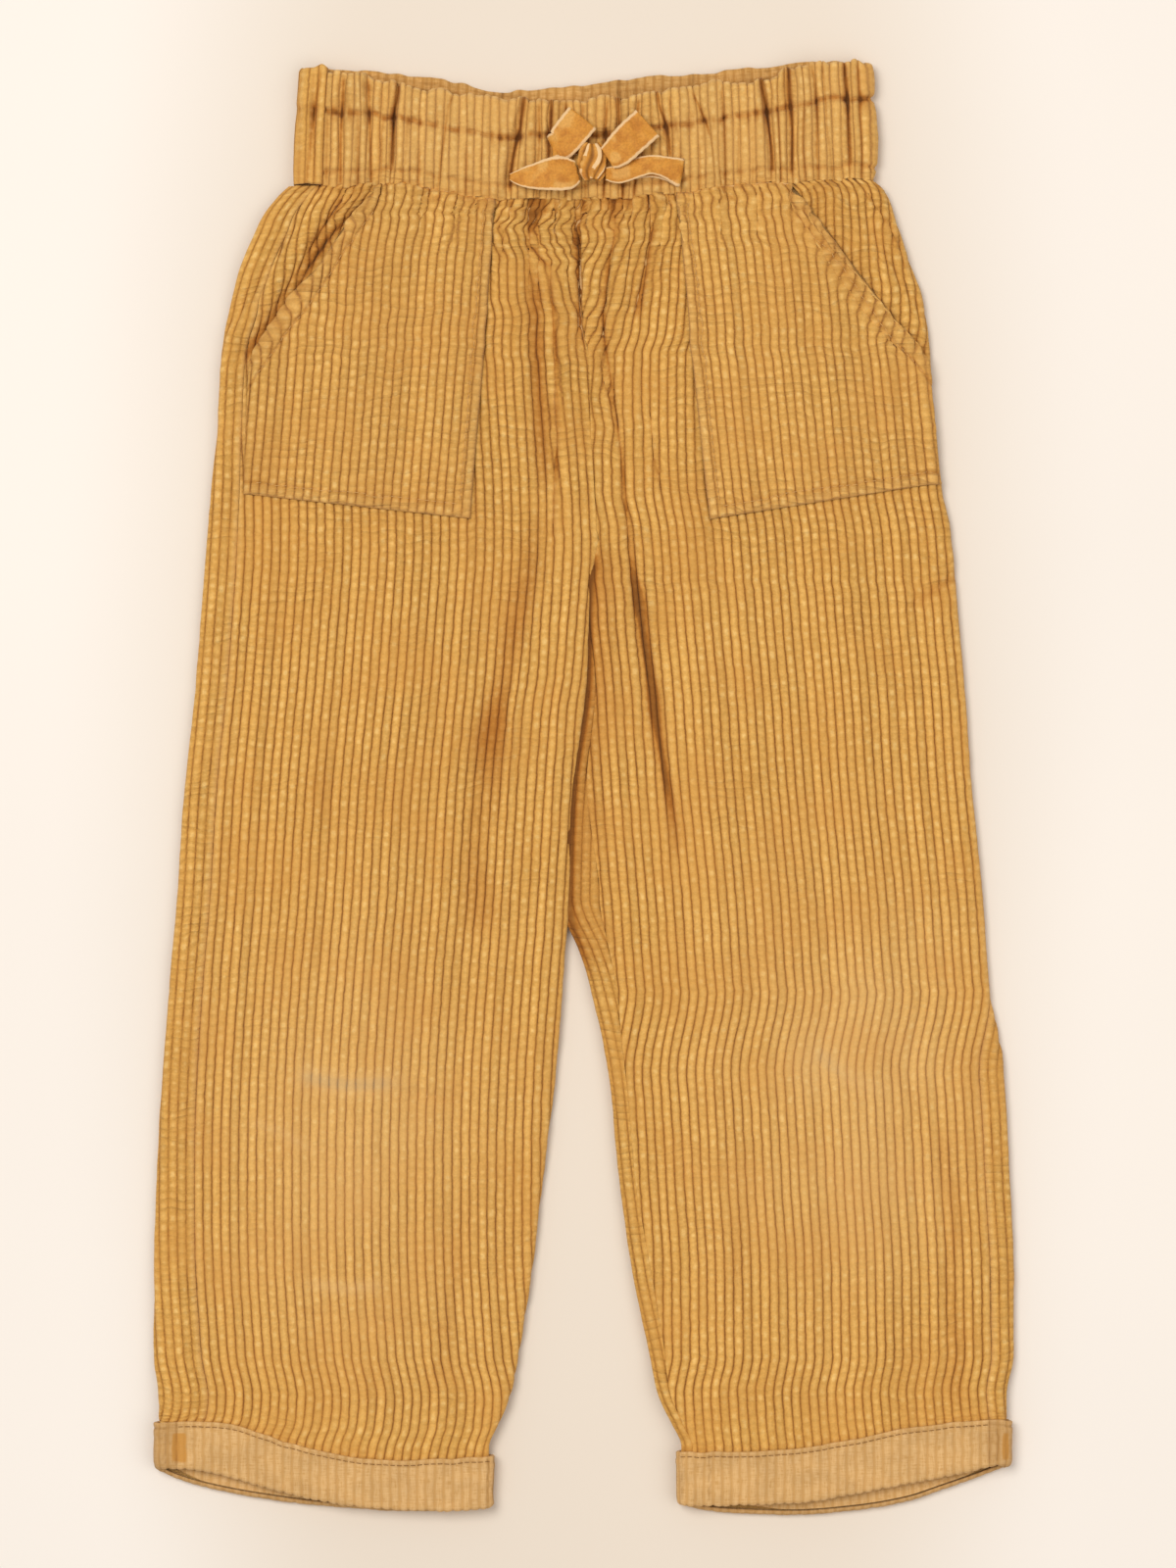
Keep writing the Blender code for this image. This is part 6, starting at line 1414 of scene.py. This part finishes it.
def cuffHalf(leg, front):
    low, high = leg["cuffEnds"]
    outer, inner = (low, high) if leg["direction"] > 0 else (high, low)
    width = abs(inner - outer)
    over, under = loopRuns(width, level(cuff["topZ"]), level(0.0), 1.0, 1.0,
                           1.3 * cloth["edgeRoll"])
    if front:
        start, end = cuff["seamIn"] - 2 * cloth["slit"], over["arc"][-1] - 0.35
        cord = cordPlaces(int((end - start) / cloth["wale"]) + 2)
        arcs = start + cord * cloth["wale"]
        arcs = np.concatenate([arcs[arcs < end - 0.1], [end]])
        point, normal = pathAt(over, arcs)
        cord = (arcs - start) / cloth["wale"]
        fromEnd = np.minimum(arcs - start, end - arcs)
    else:
        flapEnd = cuff["seamIn"] - cloth["slit"]
        flap = flapEnd - cordPlaces(4) * cloth["wale"]
        flap = flap[flap > 0.1]
        rest = np.arange(0.0, under["arc"][-1] - 0.35, cloth["wale"] / 4)
        rest = np.concatenate([rest, [under["arc"][-1] - 0.35]])
        a, b = pathAt(over, flap), pathAt(under, rest)
        point, normal = np.concatenate([a[0], b[0]]), np.concatenate([a[1], b[1]])
        cord = np.concatenate([(flapEnd - flap), flapEnd + rest]) / cloth["wale"]
        fromEnd = np.concatenate([flapEnd - flap, flapEnd + rest])
    turn = cuff["wall"] + cloth["gap"] / 2
    meet = point - 1.5 * turn * normal
    fold = cuffFold(leg, outer + leg["direction"] * meet[:, 0], meet[:, 1])
    x = outer + leg["direction"] * point[:, 0]
    heights = leg["cuffTop"](x) - fold
    profiles = np.array([cuffProfile(h) for h in heights])
    up, depth, kind = profiles[:, :, 0], profiles[:, :, 1], profiles[:, :, 2]
    face = kind[0] == 1
    bend = kind[0] == 2
    facingDown = np.clip(-normal[:, 1], 0, 1)[:, None]
    cordGrid = cord[:, None] + 0.08 * noiseD(cord[:, None] / 2.0, up / 5.0)
    rib = cordProfile(cordGrid % 1.0)
    wave = noiseB(x[:, None] / 11.0, up / 7.0 + 4.0) + 0.4 * noiseC(x[:, None] / 4.0, up / 9.0)
    nearFold = smooth(1.0 - (up - turn) / 5.0)
    fromTop = heights[:, None] - up
    fromStitch = fromTop - turnUp["stitchAt"] - 0.3 * noiseE(cord / 2, 2)[:, None]
    stitch = bell(fromStitch, 0.55)
    hem = smooth((6.0 - fromTop) / 1.5 + 0.5)
    out = (turnUp["rib"] + turnUp["foldRib"] * nearFold) * (rib - 0.7) + turnUp["wave"] * wave
    out = out + 0.25 * hem - turnUp["stitchDepth"] * stitch * (0.8 + 0.4 * rib)
    out = out * (1 - 0.9 * facingDown)
    out = np.where(face[None, :], out, 0.0)
    out = out - 0.45 * bell(fromEnd[:, None], 1.0) * face[None, :]
    foldOut = (0.85 * (rib - 0.6) + 0.3 * noiseE(cordGrid, 3.0)) * (1 - 0.5 * facingDown)
    ups = np.where(bend[None, :], up - foldOut * (1 - up / turn).clip(0, 1), up)
    wobble = 0.35 * noiseA(x / 6.0, 7.0)[:, None] * (fromTop < 3.0)
    depthNow = depth - out
    loops = np.zeros(up.shape + (3,))
    loops[:, :, 0] = x[:, None] - leg["direction"] * depthNow * normal[:, 0][:, None]
    loops[:, :, 1] = fold[:, None] + ups + wobble
    loops[:, :, 2] = np.maximum(point[:, 1][:, None] - depthNow * normal[:, 1][:, None], 0.0)
    spread = np.zeros(loops.shape)
    spread[:, :, 0] = cordGrid
    spread[:, :, 1] = alongOf(loops[:, :, 1])
    onFace = face[None, :] * (1 - facingDown)
    # painted shade in the stitch groove and over the whole back turn-up
    lie = 0.35 * stitch * onFace + (0.0 if front else 0.3)
    pale = np.zeros(up.shape)
    for x0, x1, y0, y1, strength in turnUp["patches"][leg["name"]]:
        near = smooth((loops[:, :, 0] - x0) / 3.0) * smooth((x1 - loops[:, :, 0]) / 3.0)
        near = near * smooth((loops[:, :, 1] - y0) / 3.5) * smooth((y1 - loops[:, :, 1]) / 3.5)
        pale = pale + strength * near * onFace
    # painted shade along the seam lines
    for at, y0, y1, strength in turnUp["seamLines"][leg["name"]]:
        wavy = at + 0.5 * noiseC(loops[:, :, 1] / 3.0, 5.0)
        near = bell(loops[:, :, 0] - wavy, 0.45)
        near = near * (loops[:, :, 1] > y0) * (loops[:, :, 1] < y1)
        lie = lie + strength * near * onFace
    if front:
        line = [[np.interp(turnUp["stitchAt"], fromTop[k, face], loops[k, face, axis])
                 for axis in range(3)] for k in np.flatnonzero(normal[:, 1] > 0.5)]
        threadLines[f"cuff_front_{leg['name']}"] = [line]
    facts = {"cloth": spread, "worn": np.zeros(up.shape), "lie": lie, "pale": pale}
    side = "front" if front else "back"
    return ringShell(f"cuff_{side}_{leg['name']}_cloth", loops, facts, [reverseCloth])


# bow of velvet ribbon on the front of the waistband
bow = {
    "z": 10.0, "width": 16.0, "thick": 0.8, "across": 12,
    # each row: x, y, z of the middle line, direction of the width in degrees, share of the
    # width that shows, and how far its two edges lift
    "bow_loop_left": [
        (-3, 281.5, 4.6, 95, 0.60, 0, 0), (-7, 280.5, 5.7, 95, 0.92, -0.4, 0.3),
        (-14, 280.2, 5.6, 94, 0.95, 0.3, 0.9), (-22, 279.2, 4.6, 94, 0.76, 0.5, 0.2),
        (-29, 278.9, 3.4, 92, 0.50, 0.2, 0.2), (-33.8, 279.2, 2, 90, 0.17, 0, 0),
        (-29.5, 279, 1.1, 92, 0.46, 0, 0), (-20, 279.8, 0.8, 94, 0.76, 0, 0),
        (-8, 280.6, 0.8, 95, 0.80, 0, 0)],
    "bow_loop_right": [
        (10, 280.4, 3.9, 80, 0.36, 0, 0), (16, 280.4, 3.8, 74, 0.55, 0.6, -0.4),
        (24, 283.2, 3.5, 76, 0.58, 1, -0.6), (31, 284.6, 3.4, 86, 0.54, 0.4, 0.8),
        (38, 283.3, 3.3, 88, 0.62, -0.2, 0.9), (44.2, 281.2, 2.2, 88, 0.84, 0, 0),
        (38.5, 282.8, 1.1, 88, 0.66, 0, 0), (30, 283.6, 0.8, 84, 0.56, 0, 0),
        (15, 281, 0.8, 74, 0.46, 0, 0)],
    "bow_tail_left": [
        (-3, 292, 0.9, 92, 0.30, 0, 0), (-8, 292, 0.9, 95, 0.36, 0, 0),
        (-12.6, 292.4, 1.5, 100, 0.60, 0, 0), (-13.8, 293, 2.7, 114, 0.74, 0, 0),
        (-10.6, 294, 3.7, 135, 0.92, 0.2, 0.4), (-5.5, 300, 4, 139, 1, 0.5, -0.2),
        (-0.6, 306, 3.6, 138, 1, 0.8, 0.3)],
    "bow_tail_right": [
        (10.6, 287.4, 5.3, 103, 0.70, 0, 0), (15.5, 290.6, 5.6, 116, 0.92, 0.8, -0.2),
        (22, 297, 5.2, 129, 1, 0.9, 0.6), (29, 303.4, 4.4, 133, 1, 0.3, 1)],
    "knot": {"x": 3.8, "y": 286, "z": 3.5, "half": (6, 8.4, 3.4), "creases": 7},
}


def throughPoints(rows, count):
    # smooth line through rows of numbers, evenly divided
    rows = np.array(rows, float)
    ends = np.concatenate([[2 * rows[0] - rows[1]], rows, [2 * rows[-1] - rows[-2]]])
    made = []
    for t in np.linspace(0, len(rows) - 1 - 1e-9, count):
        i = int(t)
        u = t - i
        a, b, c, d = ends[i:i + 4]
        made.append(0.5 * (2 * b + (c - a) * u + (2 * a - 5 * b + 4 * c - d) * u * u
                           + (3 * b - a - 3 * c + d) * u ** 3))
    return np.array(made)


def ribbon(name, seed):
    rows = throughPoints(bow[name], 54)
    centres = rows[:, :3] + np.array([0, 0, bow["z"]])
    tangent = np.gradient(centres, axis=0)
    tangent /= np.linalg.norm(tangent, axis=1)[:, None]
    steps = np.linalg.norm(np.diff(centres, axis=0), axis=1)
    length = np.concatenate([[0], np.cumsum(steps)])
    turn = np.radians(rows[:, 3])
    across = np.stack([np.cos(turn), np.sin(turn), np.zeros(len(turn))], 1)
    across -= tangent * np.sum(across * tangent, 1)[:, None]
    across /= np.linalg.norm(across, axis=1)[:, None]
    face = np.cross(tangent, across)
    shares = np.linspace(-1, 1, bow["across"] + 1)
    # round the ribbon, its face first and then its back
    share = np.concatenate([shares, shares[::-1]])[None, :]
    side = np.repeat([1, -1], len(shares))[None, :]
    edge, run = np.abs(share), length[:, None]
    lift = rows[:, 6:7] * np.maximum(share, 0) ** 2 + rows[:, 5:6] * np.maximum(-share, 0) ** 2
    out = 0.55 * (1 - share * share) + 0.28 * noiseA(run / 2.6 + seed, share * 1.3 + seed)
    out = out + 0.35 * np.exp(-run / 3.5) * np.cos(9 * share + seed)
    out = out + 0.22 * np.sin(run / 1.15 + seed + 2 * share) * smooth((edge - 0.55) / 0.4)
    out = out + side * bow["thick"] / 2 * (1.0 - 0.55 * edge ** 6)
    # the ribbon's width has to stay inside its narrowed outline: it cups instead
    sideways = share * bow["width"] / 2 * rows[:, 4:5] * (1 + 0.012 * np.sin(run * 1.7 + seed))
    loops = (centres[:, None] + sideways[..., None] * across[:, None]
             + out[..., None] * face[:, None])
    loops[..., 2] += lift
    # crushed patches of pile, painted as pale highlights through the worn fact
    patch = noiseB(run / 5.0 + seed, share * 1.1 + seed) - 0.15
    facts = {"cloth": np.stack([0 * run + 4 * share + seed, run / 4 + 0 * share, 0 * out], -1),
             "worn": np.clip(1.1 * patch, 0, 0.7),
             "pale": smooth((edge - 0.74) / 0.18) + 0 * run, "lie": 0 * out}
    return ringShell(name + "_ribbon", loops, facts, [velvet])


def knot():
    size = bow["knot"]
    angle = 2 * math.pi * np.arange(96)[None, :] / 96
    v = np.linspace(-1, 1, 41)[:, None]
    girth = np.sqrt(np.maximum(1 - 0.80 * v * v, 0.0))
    twist = (size["creases"] * angle + 2.2 * v + 1.3 * np.sin(2.6 * v + 0.6)
             + 0.9 * np.sin(2 * angle + 1.7 * v))
    fold = 1.0 - 2.0 * np.abs(np.cos(twist / 2)) ** 3
    crease = 1 + 0.16 * fold + 0.10 * noiseA(4.0 * np.cos(angle) + 9, 3.0 * v + 4 * np.sin(angle))
    x = size["half"][0] * girth * crease * np.cos(angle) * (1 + 0.12 * v * v)
    y = size["half"][1] * v * (1 + 0.06 * np.cos(2 * angle))
    z = size["half"][2] * (0.35 + 0.65 * girth) * crease * np.sin(angle)
    loops = np.stack([size["x"] + x, size["y"] + y, size["z"] + bow["z"] + z], -1)
    # painted highlight on the creases' ridges that face up, and painted shade in their hollows
    ridge = smooth((fold - 0.55) / 0.35) * (noiseC(1.9 * angle, 1.5 * v + 2) > -0.15)
    facts = {"cloth": np.stack([6 * angle + 0 * v, 0 * angle + 2.0 * v, 0 * x], -1),
             "worn": 0.4 * np.clip(fold, 0, 1), "lie": np.clip(-fold, 0, 1),
             "pale": 0.75 * ridge * np.clip(np.sin(angle) + 0.3, 0, 1)}
    return ringShell("bow_knot_ribbon", loops, facts, [velvet])


# every piece, by the name of the solid that it stands for
pieces = {}
for part, make in (("leg_front", frontPanel), ("leg_back", backPanel), ("pocket", pocketPanel)):
    for leg in (leftLeg, rightLeg):
        pieces[f"{part}_{leg['name']}"] = make(leg)
pieces["waistband_front"], pieces["waistband_back"] = frontBand(), backBand()
for leg in (leftLeg, rightLeg):
    pieces[f"cuff_front_{leg['name']}"] = cuffHalf(leg, True)
    pieces[f"cuff_back_{leg['name']}"] = cuffHalf(leg, False)
for seed, name in enumerate(("bow_loop_left", "bow_loop_right", "bow_tail_left",
                             "bow_tail_right")):
    pieces[name] = ribbon(name, seed * 3.1 + 1)
pieces["bow_knot"] = knot()
for name, piece in pieces.items():
    print(name, len(piece.data.polygons))

# topstitching: one stitch is modelled and copied along each line
sewing = {"radius": 0.17, "length": 2.3, "spacing": 3.1, "sunk": 0.05}


def makeStitch():
    # a short round thread, narrowed at both ends, lying along z
    bpy.ops.object.select_all(action="DESELECT")
    bpy.ops.mesh.primitive_cylinder_add(vertices=6, radius=sewing["radius"] * mm,
                                        depth=0.8 * sewing["length"] * mm, location=(0, 0, 0))
    stitch = bpy.context.object
    bpy.ops.object.mode_set(mode="EDIT")
    bpy.ops.mesh.select_mode(type="FACE")
    bpy.ops.mesh.select_all(action="DESELECT")
    body = bmesh.from_edit_mesh(stitch.data)
    for face in body.faces:
        face.select = len(face.verts) == 6
    bmesh.update_edit_mesh(stitch.data)
    bpy.ops.mesh.inset(thickness=0.45 * sewing["radius"] * mm, depth=0.1 * sewing["length"] * mm,
                       use_individual=True)
    bpy.ops.object.mode_set(mode="OBJECT")
    bpy.ops.object.shade_smooth()
    return stitch


def sewAlong(name, runs, material, stitch):
    made = []
    for run in runs:
        points = np.array(run) + np.array([cloth["shiftX"], cloth["shiftY"], 0.0])
        # the thread bridges the valleys between cords
        for _ in range(3):
            evened = np.convolve(np.pad(points[:, 2], 2, mode="edge"), np.ones(5) / 5, "valid")
            points[:, 2] = np.minimum(evened + 0.15, points[:, 2] + 0.4)
        run = np.concatenate([[0], np.cumsum(np.linalg.norm(np.diff(points[:, :2], axis=0), axis=1))])
        for middle in np.arange(0.6 * sewing["spacing"], run[-1] - 0.5 * sewing["spacing"],
                                sewing["spacing"]):
            ends = [np.array([np.interp(middle + side * sewing["length"] / 2, run, points[:, k])
                              for k in range(3)]) for side in (-1, 1)]
            along = Vector(ends[1] - ends[0])
            if along.length < 0.5 * sewing["length"] or along.length > 1.6 * sewing["length"]:
                continue
            turn = Vector((0, 0, 1)).rotation_difference(along).to_matrix().to_4x4()
            centre = (ends[0] + ends[1]) / 2 - np.array([0, 0, sewing["sunk"]])
            copy = stitch.copy()
            copy.data = stitch.data.copy()
            copy.data.transform(Matrix.Translation(Vector(centre * mm)) @ turn)
            bpy.context.scene.collection.objects.link(copy)
            made.append(copy)
    bpy.ops.object.select_all(action="DESELECT")
    for copy in made:
        copy.select_set(True)
    bpy.context.view_layer.objects.active = made[0]
    bpy.ops.object.join()
    joined = bpy.context.object
    joined.name = name
    joined.data.materials.clear()
    joined.data.materials.append(material)
    return joined


stitch = makeStitch()
threads = {}
for name, runs in threadLines.items():
    dark = name.startswith("cuff")
    threads[name] = sewAlong(name + "_stitching", runs, darkThread if dark else paleThread, stitch)
    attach(threads[name], "root")
    print("stitching", name, len(threads[name].data.polygons))
bpy.data.objects.remove(stitch)

# each piece rides on the body and stands for its solid. The cut of what shows, flattened:
# width and length in metres, the share of that rectangle which is cloth, how it is held, and
# what it lies on
cuts = {
    "leg_front_left": (0.190, 0.600, 0.93, "laid", "leg_back_left_cloth"),
    "leg_front_right": (0.190, 0.600, 0.93, "laid", "leg_back_right_cloth"),
    "leg_back_left": (0.215, 0.600, 0.92, "laid", "floor"),
    "leg_back_right": (0.210, 0.600, 0.92, "laid", "floor"),
    "pocket_left": (0.115, 0.147, 0.86, "laid", "leg_front_left_cloth"),
    "pocket_right": (0.108, 0.150, 0.86, "laid", "leg_front_right_cloth"),
    "waistband_front": (0.300, 0.058, 1.0, "gathered", "waistband_back_cloth"),
    "waistband_back": (0.290, 0.060, 1.0, "gathered", "floor"),
    "cuff_front_left": (0.150, 0.028, 1.0, "folded", "cuff_back_left_cloth"),
    "cuff_front_right": (0.150, 0.028, 1.0, "folded", "cuff_back_right_cloth"),
    "cuff_back_left": (0.185, 0.030, 1.0, "folded", "floor"),
    "cuff_back_right": (0.185, 0.030, 1.0, "folded", "floor"),
    "bow_loop_left": (0.048, 0.016, 1.0, "folded", "waistband_front_cloth"),
    "bow_loop_right": (0.046, 0.016, 1.0, "folded", "waistband_front_cloth"),
    "bow_tail_left": (0.032, 0.016, 1.0, "folded", "waistband_front_cloth"),
    "bow_tail_right": (0.026, 0.016, 1.0, "laid", "waistband_front_cloth"),
    "bow_knot": (0.020, 0.016, 1.0, "folded", "waistband_front_cloth"),
}
for name, piece in pieces.items():
    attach(piece, "root")
    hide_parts(name)
    width, length, share, held, under = cuts[name]

# floor, light and camera
# floorLitSide is the floor's colour where painted light makes it paler at the sides
stage = {"floor": "#E3D8CA", "floorLitSide": "#EFE9E2", "floorZ": -0.0004, "floorSize": 6.0,
         # each lamp: place in metres, width, power and colour
         "lamps": {"window": ((-1.05, 0.84, 2.8), 1.8, 57.5, "#FFFCF8"),
                   "bounce": ((1.2, -0.4, 1.8), 2.0, 13.0, "#FFF6EC")},
         "sky": "#FFFAF5", "skyPower": 0.47, "height": 2.2, "lens": 110.0, "sensor": 36.0,
         "middle": (0.002, 0.002)}
bpy.context.scene.view_settings.view_transform = "Standard"   # colours as they are mixed


def makeFloor():
    material, add = startMaterial("pale painted board", 0.8, 0.0)
    here = add("TexCoord", out="Object")
    cloud = add("TexNoise", solid, {"Vector": here, "Scale": 3.0, "Detail": 2.0})
    tone = add("ValToRGB", None, {0: cloud}, [(0.3, 0.985), (0.7, 1.01)])
    # painted light: the board is painted paler away from the middle, soonest towards its two sides
    across = add("VectorMath", times, {0: here, 1: (1.0, 0.3, 0.0)})
    across = add("VectorMath", {"operation": "LENGTH"}, {0: across}, out="Value")
    side = add("ValToRGB", None, {0: across}, [(0.14, 0.0), (0.25, 1.0)])
    body = add("Mix", blend, {0: side, 6: stage["floor"], 7: stage["floorLitSide"]}, out=2)
    body = add("Mix", darken, {0: 1.0, 6: body, 7: tone}, out=2)
    bpy.ops.object.select_all(action="DESELECT")
    bpy.ops.mesh.primitive_plane_add(size=stage["floorSize"], location=(0, 0, stage["floorZ"]))
    floor = bpy.context.object
    floor.name = "floor"
    floor.data.materials.append(endMaterial(material, body))


def addLamp(name, place, size, power, colour):
    data = bpy.data.lights.new(name, "AREA")
    data.shape = "DISK"
    data.size = size
    data.energy = power
    data.color = toLinear(colour)[:3]
    lamp = bpy.data.objects.new(name, data)
    lamp.location = place
    lamp.rotation_euler = (-Vector(place)).to_track_quat("-Z", "Y").to_euler()
    bpy.context.scene.collection.objects.link(lamp)


makeFloor()
for name, settings in stage["lamps"].items():
    addLamp(name, *settings)
world = bpy.data.worlds.new("pale room")
bpy.context.scene.world = world
world.use_nodes = True
sky = world.node_tree.nodes["Background"].inputs
sky["Color"].default_value = toLinear(stage["sky"])
sky["Strength"].default_value = stage["skyPower"]
cameraData = bpy.data.cameras.new("camera")
cameraData.sensor_fit = "VERTICAL"
cameraData.sensor_height = stage["sensor"]
cameraData.lens = stage["lens"]
camera = bpy.data.objects.new("camera", cameraData)
camera.location = (*stage["middle"], stage["height"])
bpy.context.scene.collection.objects.link(camera)
bpy.context.scene.camera = camera
print("stage set")
